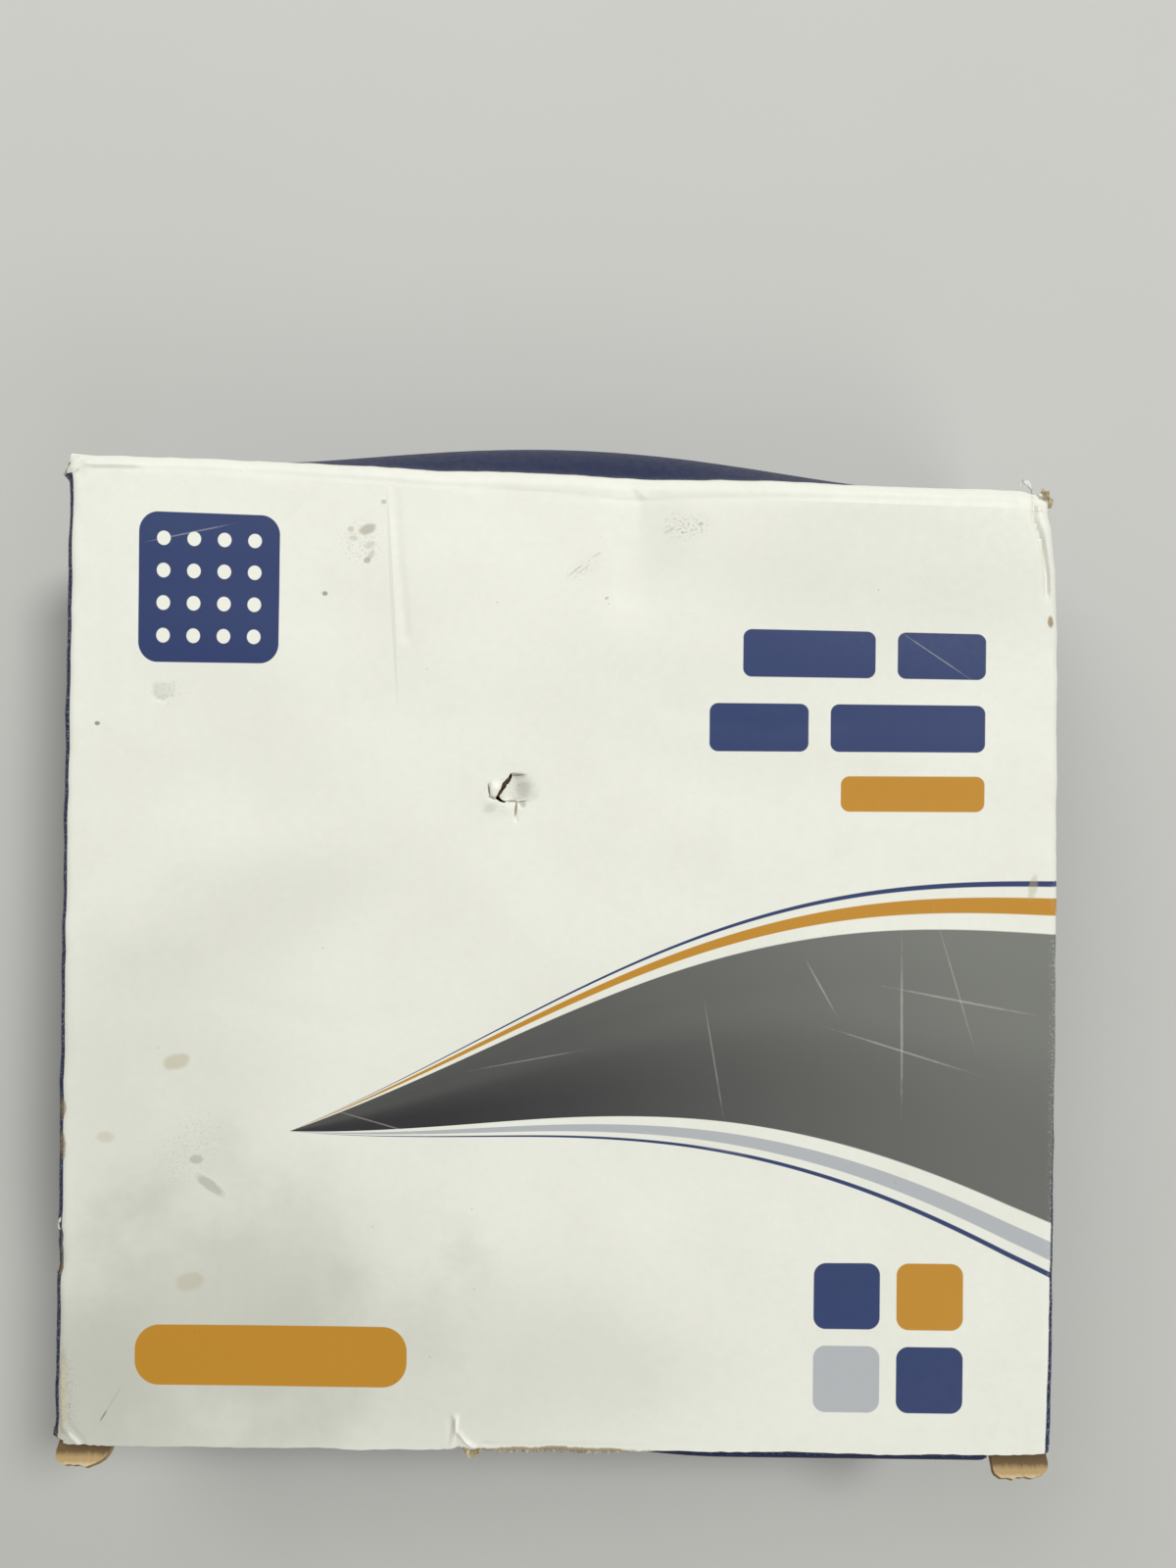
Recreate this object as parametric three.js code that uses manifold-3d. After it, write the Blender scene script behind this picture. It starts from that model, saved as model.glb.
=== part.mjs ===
// Tuck-end carton of printed single-wall corrugated board, lying on its back panel, printed face up.
// Millimetres, +Z up. The origin is the middle of the back panel's outer face. +Y points to the end
// whose closure hangs from the face, and +X to the right of someone who reads the face.
import * as THREE from "three";
import { mergeVertices } from "three/addons/utils/BufferGeometryUtils.js";
import Module from "manifold-3d";

const wasm = await Module();
wasm.setup();

// The carton and its board.
const WIDTH = 182; // across the face, outside
const LENGTH = 178; // along the face, outside of one closure to outside of the other
const DEPTH = 46; // back to face, outside
const BOARD = 1.5; // board thickness
const FOLD_RADIUS = 2.8; // outside of the four long folds
const CLEARANCE = 0.3; // between panels that fold against each other

// The glued seam inside the right wall.
const SEAM_WIDTH = 20;
const SEAM_SETBACK = 12; // from the ends of the side walls
const SEAM_TAPER = 6; // its ends are cut at a slant
const SEAM_BITE = 0.5; // how deep the glued flap sinks into the wall that it is glued to

// The two closures, each a panel with a tuck flap folded from its free edge.
const CLOSURE_INSET = 0.8; // each end of the panel, in from the side walls' outside
const TUCK_LENGTH = 18;
const TUCK_SLANT = THREE.MathUtils.degToRad(12); // the tuck flap springs off the panel it lies on
const TUCK_FOLD_RADIUS = 1.8; // outside of the fold between panel and tuck flap
const TUCK_CORNER_RADIUS = 9;
const TOP_BULGE = 10.2; // how far the contents have pushed the top closure out
const BOTTOM_BULGE = 2.2;
const BOTTOM_SHIFT = -0.6; // the bottom closure sits a little to the left of the face

// The lock ears at both ends of each tuck fold, where a slit parts panel and tuck flap.
const EAR_WIDTH = 9.8;
const EAR_SLIT = 0.6;
const EAR_ROOT = 4.2; // from the tuck fold's outside back to the ear's bend
const EAR_CORNER_RADIUS = 2.8;
const BENT_EAR_LENGTH = 6.6;
const BENT_EAR_LEAN = THREE.MathUtils.degToRad(50);

// The four dust flaps.
const DUST_LENGTH = 55;
const DUST_TAPER = 4;
const DUST_CORNER_RADIUS = 7;
const DUST_TUCK_GAP = 1; // over the tuck flap's tip when the dust flap swings in

// How finely curves are cut.
const ARC_STEPS = 6;
const BULGE_STEPS_ACROSS = 24;
const BULGE_STEPS_DOWN = 8;

const sideEnd = LENGTH / 2 - BOARD - CLEARANCE; // side walls, face and back stop here at a crease
const closureHinge = { y: LENGTH / 2 - BOARD / 2, z: DEPTH - BOARD / 2 };
const closureReach = DEPTH - 1.5 * BOARD - CLEARANCE; // hinge axis to the tuck fold's outside
const closureHalf = WIDTH / 2 - CLOSURE_INSET;
const tuckHalf = closureHalf - EAR_WIDTH - EAR_SLIT;
const tuckStraight = TUCK_LENGTH - TUCK_FOLD_RADIUS;
const tuckTop =
  BOARD + CLEARANCE + TUCK_FOLD_RADIUS * (1 - Math.cos(TUCK_SLANT)) +
  tuckStraight * Math.sin(TUCK_SLANT) + BOARD * Math.cos(TUCK_SLANT);
const dustHinge = {
  x: WIDTH / 2 - 1.5 * BOARD - CLEARANCE,
  y: LENGTH / 2 - 1.5 * BOARD - CLEARANCE,
};

const whiteBoard = new THREE.MeshStandardMaterial({ color: "#e4e6db", roughness: 0.55, metalness: 0 });
const navyBoard = new THREE.MeshStandardMaterial({ color: "#2c3a66", roughness: 0.5, metalness: 0 });
const kraftBoard = new THREE.MeshStandardMaterial({ color: "#a98d63", roughness: 0.85, metalness: 0 });

// A closed geometry as a solid that can be cut and joined.
function solidOf(geometry) {
  const bare = geometry.index ? geometry.toNonIndexed() : geometry.clone();
  bare.deleteAttribute("normal");
  bare.deleteAttribute("uv");
  const merged = mergeVertices(bare, 1e-4);
  return new wasm.Manifold(
    new wasm.Mesh({
      numProp: 3,
      vertProperties: merged.attributes.position.array,
      triVerts: new Uint32Array(merged.index.array),
    }),
  );
}

function geometryOf(solid) {
  const { vertProperties, triVerts } = solid.getMesh();
  const geometry = new THREE.BufferGeometry();
  geometry.setAttribute("position", new THREE.BufferAttribute(vertProperties, 3));
  geometry.setIndex(new THREE.BufferAttribute(triVerts, 1));
  geometry.computeVertexNormals();
  return geometry;
}

// A solid block between two corners.
function block(low, high) {
  const size = high.map((value, i) => value - low[i]);
  const geometry = new THREE.BoxGeometry(...size);
  geometry.translate(...low.map((value, i) => value + size[i] / 2));
  return solidOf(geometry);
}

// Extrudes a shape straight, centred on the plane that it is drawn in.
function extrudeCentred(shape, depth, steps = 1) {
  const settings = { depth, steps, bevelEnabled: false, curveSegments: ARC_STEPS };
  return new THREE.ExtrudeGeometry(shape, settings).translate(0, 0, -depth / 2);
}

function roundedRectangle(path, halfWidth, low, high, radius) {
  path.moveTo(-halfWidth + radius, low);
  path.absarc(halfWidth - radius, low + radius, radius, -Math.PI / 2, 0, false);
  path.absarc(halfWidth - radius, high - radius, radius, 0, Math.PI / 2, false);
  path.absarc(-halfWidth + radius, high - radius, radius, Math.PI / 2, Math.PI, false);
  path.absarc(-halfWidth + radius, low + radius, radius, Math.PI, 1.5 * Math.PI, false);
  return path;
}

// The four panels round the contents: one tube of board with its glued seam inside.
function sleeveSolid() {
  const section = roundedRectangle(new THREE.Shape(), WIDTH / 2, 0, DEPTH, FOLD_RADIUS);
  const bore = roundedRectangle(
    new THREE.Path(), WIDTH / 2 - BOARD, BOARD, DEPTH - BOARD, FOLD_RADIUS - BOARD,
  );
  section.holes.push(bore);
  const tube = solidOf(extrudeCentred(section, 2 * sideEnd).rotateX(Math.PI / 2));

  // The back's cut edge at the top end and the face's at the bottom end reach over the closures.
  const edgeHalf = WIDTH / 2 - FOLD_RADIUS;
  const backEdge = block([-edgeHalf, sideEnd - BOARD, 0], [edgeHalf, LENGTH / 2, BOARD]);
  const faceEdge = block([-edgeHalf, -LENGTH / 2, DEPTH - BOARD], [edgeHalf, BOARD - sideEnd, DEPTH]);

  const seamHalf = sideEnd - SEAM_SETBACK;
  const seam = new THREE.Shape();
  seam.moveTo(-seamHalf, BOARD / 2);
  seam.lineTo(seamHalf, BOARD / 2);
  seam.lineTo(seamHalf - SEAM_TAPER, BOARD + SEAM_WIDTH);
  seam.lineTo(SEAM_TAPER - seamHalf, BOARD + SEAM_WIDTH);
  seam.closePath();
  const seamFlap = solidOf(
    extrudeCentred(seam, BOARD + SEAM_BITE)
      .applyMatrix4(sectionAcross())
      .translate(WIDTH / 2 - 1.5 * BOARD + SEAM_BITE / 2, 0, 0),
  );
  return tube.add(backEdge).add(faceEdge).add(seamFlap);
}

// Turns a shape drawn in (y, z) so that its extrusion runs along X.
function sectionAcross() {
  return new THREE.Matrix4().makeBasis(
    new THREE.Vector3(0, 1, 0), new THREE.Vector3(0, 0, 1), new THREE.Vector3(1, 0, 0),
  );
}

// The section of a closure that hangs from its hinge axis at the origin, outside towards +Y.
function closureSection() {
  const half = BOARD / 2;
  const foldStart = closureReach - TUCK_FOLD_RADIUS;
  const foldCentre = { y: half - TUCK_FOLD_RADIUS, z: -foldStart };
  const foldEnd = -Math.PI / 2 - TUCK_SLANT;
  const innerRadius = TUCK_FOLD_RADIUS - BOARD;
  const along = { y: -Math.cos(TUCK_SLANT), z: Math.sin(TUCK_SLANT) };
  const out = { y: Math.cos(foldEnd), z: Math.sin(foldEnd) };
  const tip = (radius) => [
    foldCentre.y + radius * out.y + tuckStraight * along.y,
    foldCentre.z + radius * out.z + tuckStraight * along.z,
  ];
  const shape = new THREE.Shape();
  shape.moveTo(-half, 0);
  shape.absarc(0, 0, half, Math.PI, 0, true);
  for (let i = 1; i < BULGE_STEPS_DOWN; i++) shape.lineTo(half, (-foldStart * i) / BULGE_STEPS_DOWN);
  shape.absarc(foldCentre.y, foldCentre.z, TUCK_FOLD_RADIUS, 0, foldEnd, true);
  shape.lineTo(...tip(TUCK_FOLD_RADIUS));
  shape.lineTo(...tip(innerRadius));
  shape.absarc(foldCentre.y, foldCentre.z, innerRadius, foldEnd, 0, false);
  for (let i = BULGE_STEPS_DOWN - 1; i > 0; i--) shape.lineTo(-half, (-foldStart * i) / BULGE_STEPS_DOWN);
  shape.closePath();
  return shape;
}

// Pushes the panel outwards: most in its middle, not at all along its edges.
function bulge(geometry, height) {
  const position = geometry.attributes.position;
  const foldStart = closureReach - TUCK_FOLD_RADIUS;
  for (let i = 0; i < position.count; i++) {
    if (position.getY(i) < -BOARD / 2 - 0.01) continue;
    const across = position.getX(i) / closureHalf;
    const down = THREE.MathUtils.clamp(-position.getZ(i) / foldStart, 0, 1);
    const share = (1 - across ** 2) ** 2 * (1 - (2 * down - 1) ** 2);
    position.setY(i, position.getY(i) + height * share);
  }
  return geometry;
}

// Cuts a tuck flap's two outer corners round.
function tuckCornerCutters() {
  const high = -BOARD;
  const low = -TUCK_LENGTH - BOARD;
  const tip = foldedTip();
  return [-1, 1].map((side) => {
    const waste = new THREE.Shape();
    const edge = side * tuckHalf;
    const centre = { x: edge - side * TUCK_CORNER_RADIUS, y: tip + TUCK_CORNER_RADIUS };
    waste.moveTo(edge, centre.y);
    for (let i = 1; i <= ARC_STEPS; i++) {
      const angle = (i / ARC_STEPS) * (Math.PI / 2);
      waste.lineTo(
        centre.x + side * TUCK_CORNER_RADIUS * Math.cos(angle),
        centre.y - TUCK_CORNER_RADIUS * Math.sin(angle),
      );
    }
    waste.lineTo(centre.x, low);
    waste.lineTo(side * WIDTH / 2, low);
    waste.lineTo(side * WIDTH / 2, high);
    waste.lineTo(edge, high);
    waste.closePath();
    const prism = new THREE.ExtrudeGeometry(waste, { depth: DEPTH, bevelEnabled: false });
    return solidOf(prism.translate(0, 0, -closureReach - BOARD));
  });
}

// How far behind the hinge axis the tuck flap's tip lies.
function foldedTip() {
  return BOARD / 2 - TUCK_FOLD_RADIUS - tuckStraight * Math.cos(TUCK_SLANT);
}

// One lock ear: a tab in line with the panel, or leaning out of it.
function ear(x, length, lean) {
  const half = EAR_WIDTH / 2;
  const r = EAR_CORNER_RADIUS;
  const outline = new THREE.Shape();
  outline.moveTo(-half, 0);
  outline.lineTo(half, 0);
  outline.absarc(half - r, length - r, r, 0, Math.PI / 2, false);
  outline.absarc(r - half, length - r, r, Math.PI / 2, Math.PI, false);
  outline.closePath();
  const tab = extrudeCentred(outline, BOARD).rotateX(lean - Math.PI / 2);
  const bend = new THREE.CylinderGeometry(BOARD / 2, BOARD / 2, EAR_WIDTH, 4 * ARC_STEPS).rotateZ(Math.PI / 2);
  return solidOf(tab)
    .add(solidOf(bend))
    .translate([x, 0, EAR_ROOT - closureReach]);
}

// A closure in the frame of its hinge: panel, tuck flap and two ears, folded from one board.
function closureSolid(bulgeHeight, earLength, earLean) {
  const profile = extrudeCentred(closureSection(), 2 * closureHalf, BULGE_STEPS_ACROSS);
  let closure = solidOf(bulge(profile.applyMatrix4(sectionAcross()), bulgeHeight));
  for (const cutter of tuckCornerCutters()) closure = closure.subtract(cutter);
  for (const side of [-1, 1]) {
    const ends = [side * tuckHalf, side * (closureHalf + BOARD)].sort((a, b) => a - b);
    closure = closure
      .subtract(block([ends[0], -DEPTH, -DEPTH], [ends[1], DEPTH, EAR_ROOT - closureReach]))
      .add(ear(side * (closureHalf - EAR_WIDTH / 2), earLength, earLean));
  }
  return closure;
}

// A dust flap in the frame of its hinge: it reaches towards -X, at heights for the top right flap.
function dustFlapSolid() {
  const plan = new THREE.Shape();
  plan.moveTo(-DUST_LENGTH, BOARD / 2);
  plan.lineTo(-DUST_LENGTH, -BOARD / 2);
  plan.absarc(0, 0, BOARD / 2, -Math.PI / 2, Math.PI / 2, false);
  plan.closePath();
  const plate = solidOf(new THREE.ExtrudeGeometry(plan, { depth: DEPTH, bevelEnabled: false, curveSegments: 12 }));

  const low = tuckTop + DUST_TUCK_GAP;
  const high = DEPTH - BOARD - CLEARANCE;
  const r = DUST_CORNER_RADIUS;
  const end = -DUST_LENGTH;
  const outline = new THREE.Shape();
  outline.moveTo(BOARD, low);
  outline.lineTo(BOARD, high);
  outline.absarc(end + r, high - DUST_TAPER - r, r, Math.PI / 2, Math.PI, false);
  outline.absarc(end + r, low + DUST_TAPER + r, r, Math.PI, 1.5 * Math.PI, false);
  outline.closePath();
  return plate.intersect(solidOf(extrudeCentred(outline, 2 * BOARD).rotateX(Math.PI / 2)));
}

const carton = new THREE.Group();

function addPiece(name, solid, material, position = [0, 0, 0], rotation = [0, 0, 0]) {
  const mesh = new THREE.Mesh(geometryOf(solid), material);
  mesh.name = name;
  mesh.position.set(...position);
  mesh.rotation.set(...rotation);
  carton.add(mesh);
}

addPiece("sleeve", sleeveSolid(), whiteBoard);

const straightEar = EAR_ROOT; // reaches as far as the tuck fold does
addPiece(
  "top_closure", closureSolid(TOP_BULGE, straightEar, 0), navyBoard,
  [0, closureHinge.y, closureHinge.z],
);
addPiece(
  "bottom_closure", closureSolid(BOTTOM_BULGE, BENT_EAR_LENGTH, BENT_EAR_LEAN), navyBoard,
  [BOTTOM_SHIFT, -closureHinge.y, DEPTH - closureHinge.z], [Math.PI, 0, 0],
);

const dustFlap = dustFlapSolid();
addPiece("top_right_dust_flap", dustFlap, kraftBoard, [dustHinge.x, dustHinge.y, 0]);
addPiece("top_left_dust_flap", dustFlap, kraftBoard, [-dustHinge.x, dustHinge.y, 0], [0, 0, Math.PI]);
addPiece(
  "bottom_right_dust_flap", dustFlap, kraftBoard,
  [dustHinge.x, -dustHinge.y, DEPTH], [Math.PI, 0, 0],
);
addPiece(
  "bottom_left_dust_flap", dustFlap, kraftBoard,
  [-dustHinge.x, -dustHinge.y, DEPTH], [0, Math.PI, 0],
);

export default carton;
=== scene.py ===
"""A worn tuck-end carton of printed corrugated board, cut flat as a blank and then folded."""

import math

import bpy
import numpy as np
from bpy.props import FloatProperty, FloatVectorProperty, PointerProperty
from mathutils import Matrix, Vector


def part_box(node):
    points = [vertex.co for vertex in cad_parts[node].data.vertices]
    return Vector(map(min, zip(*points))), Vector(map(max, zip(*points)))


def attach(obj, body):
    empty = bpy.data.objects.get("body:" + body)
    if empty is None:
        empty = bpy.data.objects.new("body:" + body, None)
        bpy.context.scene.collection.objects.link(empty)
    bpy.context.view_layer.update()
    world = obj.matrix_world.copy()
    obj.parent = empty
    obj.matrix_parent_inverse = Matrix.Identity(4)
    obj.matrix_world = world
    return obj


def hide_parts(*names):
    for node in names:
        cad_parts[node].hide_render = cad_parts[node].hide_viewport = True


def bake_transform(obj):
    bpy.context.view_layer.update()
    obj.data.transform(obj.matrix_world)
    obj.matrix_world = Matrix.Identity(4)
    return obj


bl_info = {
    "name": "Worn Carton",
    "version": (1, 0, 0),
    "blender": (4, 5, 0),
    "location": "View3D > Sidebar > Carton",
    "description": "Builds a worn corrugated carton round its packed frame",
    "category": "Object",
}

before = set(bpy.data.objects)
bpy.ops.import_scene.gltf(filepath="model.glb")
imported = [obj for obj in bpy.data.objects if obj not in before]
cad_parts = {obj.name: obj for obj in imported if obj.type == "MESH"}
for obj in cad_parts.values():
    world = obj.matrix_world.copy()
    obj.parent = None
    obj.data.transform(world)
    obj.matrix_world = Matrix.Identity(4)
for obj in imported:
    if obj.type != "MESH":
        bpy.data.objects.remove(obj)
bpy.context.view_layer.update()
SLEEVE_LOW, SLEEVE_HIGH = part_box("sleeve")

MM = 0.001
QUARTER = math.pi / 2
PRINTED, KRAFT, CUT = 0, 1, 2  # material slots of every piece of board: outside, inside, cut edge


def linear(hex_colour):
    """An sRGB hex colour as linear red, green, blue and alpha."""
    parts = [int(hex_colour[i : i + 2], 16) / 255 for i in (1, 3, 5)]
    return tuple(c / 12.92 if c <= 0.04045 else ((c + 0.055) / 1.055) ** 2.4 for c in parts) + (1.0,)


def length_of(metres, name, description):
    return FloatProperty(name=name, description=description, default=metres, unit="LENGTH", precision=5)


def colour_of(hex_colour, name, description):
    return FloatVectorProperty(
        name=name, description=description, default=linear(hex_colour),
        subtype="COLOR", size=4, min=0.0, max=1.0,
    )


class CARTON_PG_sizes(bpy.types.PropertyGroup):
    width: length_of(SLEEVE_HIGH[0] - SLEEVE_LOW[0], "Width", "Outside of one side wall to outside of the other")
    length: length_of(SLEEVE_HIGH[1] - SLEEVE_LOW[1], "Length", "Outside of one closure to outside of the other")
    depth: length_of(SLEEVE_HIGH[2] - SLEEVE_LOW[2], "Depth", "Back panel to face")
    board: length_of(1.5 * MM, "Board", "Thickness of the corrugated board")
    flute: length_of(3.2 * MM, "Flute", "Distance from one flute to the next")
    left_fold: length_of(2.4 * MM, "Left fold", "Outside radius of the fold between face and left wall")
    right_fold: length_of(1.8 * MM, "Right fold", "Outside radius of the fold between face and right wall")
    back_fold: length_of(2.0 * MM, "Back fold", "Outside radius of the folds at the back")
    top_bulge: length_of(9.6 * MM, "Top bulge", "How far the top closure bows out")
    bottom_bulge: length_of(2.2 * MM, "Bottom bulge", "How far the bottom closure bows out")
    top_skew: length_of(3.43 * MM, "Top skew", "How far the top fold is pulled up at the left and down at the right")
    lean: length_of(0.65 * MM, "Lean", "How far the top is pushed to the right and the bottom to the left")


class CARTON_PG_colours(bpy.types.PropertyGroup):
    paper: colour_of("#ECEDE2", "Paper", "Unprinted coated paper")
    navy: colour_of("#2F3E6A", "Navy", "Navy print on the face")
    # The walls navy is the navy print darkened as painted shade, for the dimmer light on walls, closures and dust
    # flaps.
    walls: colour_of("#131F46", "Walls", "Heavier navy of walls and closures")
    ochre: colour_of("#C08A2E", "Ochre", "Ochre print")
    charcoal: colour_of("#343235", "Charcoal", "Darkest end of the grey print")
    ash: colour_of("#7E807A", "Ash", "Lighter end of the grey print")
    silver: colour_of("#B2B6B9", "Silver", "Pale grey print")
    kraft: colour_of("#A68B60", "Kraft", "Brown liner inside")
    medium: colour_of("#8A6E47", "Fluted paper", "Fluted paper inside the board")
    floor: colour_of("#C6C6C2", "Floor", "The floor it lies on")


def deselect_all():
    if bpy.context.mode != "OBJECT":
        bpy.ops.object.mode_set(mode="OBJECT")
    bpy.ops.object.select_all(action="DESELECT")


def activate(obj):
    deselect_all()
    obj.select_set(True)
    bpy.context.view_layer.objects.active = obj


def points_of(obj):
    flat = np.empty(len(obj.data.vertices) * 3)
    obj.data.vertices.foreach_get("co", flat)
    return flat.reshape(-1, 3)


def move_points(obj, points):
    obj.data.vertices.foreach_set("co", np.asarray(points, float).ravel())
    obj.data.update()


def faces_of(obj, what):
    flat = np.empty(len(obj.data.polygons) * 3)
    obj.data.polygons.foreach_get(what, flat)
    return flat.reshape(-1, 3)


def edit_faces(obj, chosen):
    """Opens the piece in edit mode with only the chosen faces selected."""
    activate(obj)
    mesh = obj.data
    mesh.vertices.foreach_set("select", np.zeros(len(mesh.vertices), bool))
    mesh.edges.foreach_set("select", np.zeros(len(mesh.edges), bool))
    mesh.polygons.foreach_set("select", np.asarray(chosen, bool))
    bpy.context.tool_settings.mesh_select_mode = (False, False, True)
    bpy.ops.object.mode_set(mode="EDIT")


def leave_edit():
    bpy.ops.object.mode_set(mode="OBJECT")


def lines(*stretches):
    """Grid lines: a start, then (end, step) for each stretch, cut in equal parts no longer than the step."""
    marks = [stretches[0]]
    for end, step in stretches[1:]:
        start = marks[-1]
        count = max(1, math.ceil(abs(end - start) / step - 1e-6))
        marks += [start + (end - start) * i / count for i in range(1, count + 1)]
    return np.array(marks)


def flat_sheet(name, across, along):
    """A flat sheet of squares, its printed side up, with its grid lines gathered where they are needed."""
    deselect_all()
    bpy.ops.mesh.primitive_grid_add(
        x_subdivisions=len(across) - 1, y_subdivisions=len(along) - 1, size=2, location=(0, 0, 0),
    )
    sheet = bpy.context.active_object
    sheet.name = sheet.data.name = name
    points = points_of(sheet)
    for axis, marks in enumerate((across, along)):
        row = np.rint((points[:, axis] + 1) / 2 * (len(marks) - 1)).astype(int)
        points[:, axis] = np.asarray(marks)[row]
    move_points(sheet, points)
    while sheet.data.uv_layers:
        sheet.data.uv_layers.remove(sheet.data.uv_layers[0])
    return sheet


def refine(sheet, areas):
    """Cuts the squares in each area, (left, right, low, high) in millimetres, that many times each way."""
    for left, right, low, high, cuts in areas:
        x, y, _ = faces_of(sheet, "center").T / MM
        edit_faces(sheet, (x > left) & (x < right) & (y > low) & (y < high))
        bpy.ops.mesh.subdivide(number_cuts=cuts)
        leave_edit()


def cut_away(sheet, waste):
    """Cuts the marked faces out of the flat sheet."""
    edit_faces(sheet, waste)
    bpy.ops.mesh.delete(type="FACE")
    leave_edit()


def cut_slit(sheet, trail):
    """Cuts a slit as wide as its trail says through the flat sheet, and draws its rim smooth."""
    x, y, _ = faces_of(sheet, "center").T / MM
    away, width, _ = beside(x, y, trail)
    cut_away(sheet, np.abs(away) < width)
    mesh = sheet.data
    used, ends = np.empty(len(mesh.loops), int), np.empty(len(mesh.edges) * 2, int)
    mesh.loops.foreach_get("edge_index", used)
    mesh.edges.foreach_get("vertices", ends)
    rim = np.unique(ends.reshape(-1, 2)[np.bincount(used, minlength=len(mesh.edges)) == 1])
    points = points_of(sheet)
    away, width, out = beside(*points[rim, :2].T / MM, trail)
    off = width * (1 + 0.3 * ragged(points[rim, 1] / MM + 20 * (away > 0), 0.3, 17)) - np.abs(away)
    near = np.abs(off) < 0.25
    points[rim[near], :2] += (out * off[:, None])[near] * MM
    move_points(sheet, points)


def solidify(sheet, **settings):
    activate(sheet)
    bpy.ops.object.modifier_add(type="SOLIDIFY")
    wall = sheet.modifiers[-1]
    for name, value in settings.items():
        setattr(wall, name, value)
    bpy.ops.object.modifier_apply(modifier=wall.name)


def thicken(sheet, board, surfaces):
    """Gives the flat sheet the board's thickness, with its own surface outside, inside and along its cuts."""
    for material in surfaces:
        sheet.data.materials.append(material)
    solidify(sheet, thickness=board, offset=-1, material_offset=KRAFT, material_offset_rim=CUT)


def open_cut_edge(sheet, at, toward, low, high, sizes, surfaces):
    """Opens a cut edge across the flutes: the liners stand as lips, with the fluted paper between them."""
    board, pitch = sizes.board, sizes.flute
    # How thick a liner is, how far the liners stand out and how thick the fluted paper is.
    lip, recess, fluting = 0.26 * MM, 1.1 * MM, 0.16 * MM
    centre, normal = faces_of(sheet, "center"), faces_of(sheet, "normal")
    on_edge = (
        (np.abs(centre[:, 1] - at) < 0.02 * MM) & (normal[:, 1] * toward > 0.9)
        & (centre[:, 0] > low) & (centre[:, 0] < high)
    )
    edit_faces(sheet, on_edge)
    bpy.ops.mesh.inset(thickness=lip, depth=0, use_boundary=True)
    bpy.ops.mesh.extrude_region_move(TRANSFORM_OT_translate={"value": (0, -toward * recess, 0)})
    leave_edit()

    across = lines(low + lip, (high - lip, pitch / 10))
    ribbon = flat_sheet("fluted_paper", across, np.sort([at - toward * 1.3 * recess, at - toward * 0.12 * MM]))
    points = points_of(ribbon)
    crest = board / 2 - lip - 0.11 * MM
    points[:, 2] = -board / 2 + crest * np.sin(2 * math.pi * points[:, 0] / pitch)
    move_points(ribbon, points)
    for _ in range(CUT + 1):
        ribbon.data.materials.append(surfaces[CUT])
    solidify(ribbon, thickness=fluting, offset=0)
    join(sheet, ribbon)


def loose_paper(trail, material, seed):
    """A torn scrap of paper that hangs on the sleeve, along a trail of (x, y, z, half width) in millimetres."""
    trail = np.array(trail)
    steps = np.hypot(*np.diff(trail[:, :2], axis=0).T)
    reached = np.append(0, np.cumsum(steps))
    scrap = flat_sheet("torn_paper", lines(0, (reached[-1], 0.22)), np.array([-1, -0.4, 0.4, 1]))
    run, across, _ = points_of(scrap).T
    x, y, z, half = (np.interp(run, reached, column) for column in trail.T)
    turn = np.interp(run, reached, np.unwrap(np.arctan2(*np.gradient(trail[:, :2], axis=0).T[::-1])))
    offset = across * half * (1 + 0.28 * ragged(run + 40 * across, 0.4, seed)) + 0.1 * ragged(run, 0.5, seed + 1)
    z = z + 0.16 * ragged(run + 9 * across, 0.6, seed + 2) + 0.2 * across**2 * half
    place = np.stack([x - offset * np.sin(turn), y + offset * np.cos(turn), z], 1)
    place += wear(place * MM, np.tile((0.0, 0.0, 1.0), (len(place), 1))) / MM
    move_points(scrap, place * MM)
    scrap.data.materials.append(material)
    solidify(scrap, thickness=0.22 * MM, offset=0)
    bpy.ops.object.shade_smooth_by_angle(angle=math.radians(50))
    return scrap


def join(target, *others):
    deselect_all()
    for other in others:
        other.select_set(True)
    target.select_set(True)
    bpy.context.view_layer.objects.active = target
    bpy.ops.object.join()


def follow(path, start, heading, distance, outside):
    """Points and outward normals at distances along stretches of (length, turn), straight ones turning by 0."""
    distance = np.asarray(distance, float)
    across, up, facing = (np.zeros(distance.shape) for _ in range(3))
    x, y, angle, begun = start[0], start[1], heading, 0.0
    for number, (length, turn) in enumerate(path):
        here = distance >= begun if number else np.ones(distance.shape, bool)
        run = distance[here] - begun
        if turn == 0:
            across[here], up[here] = x + run * math.cos(angle), y + run * math.sin(angle)
            facing[here] = angle
            x, y = x + length * math.cos(angle), y + length * math.sin(angle)
        else:
            radius = length / turn
            bend = angle + run / radius
            across[here] = x + radius * (np.sin(bend) - math.sin(angle))
            up[here] = y - radius * (np.cos(bend) - math.cos(angle))
            facing[here] = bend
            x += radius * (math.sin(angle + turn) - math.sin(angle))
            y -= radius * (math.cos(angle + turn) - math.cos(angle))
            angle += turn
        begun += length
    return across, up, -outside * np.sin(facing), outside * np.cos(facing)


def arc(radius, turn=-QUARTER):
    """The stretch that a fold of this outside radius takes up."""
    return (radius * abs(turn), turn)


def fold_up(sheet, mapping, start=0.0):
    """Folds the flat sheet. It keeps its flat place as an attribute, which the print and the wear follow."""
    flat = points_of(sheet)
    keep = sheet.data.attributes.new("flat", "FLOAT_VECTOR", "POINT")
    keep.data.foreach_set("vector", (flat + (0, start, 0)).ravel().astype(np.float32))
    outer, normal = mapping(flat[:, 0], flat[:, 1])
    move_points(sheet, outer + wear(outer, normal) + normal * flat[:, 2:3])
    activate(sheet)
    bpy.ops.object.shade_smooth_by_angle(angle=math.radians(38))


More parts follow.
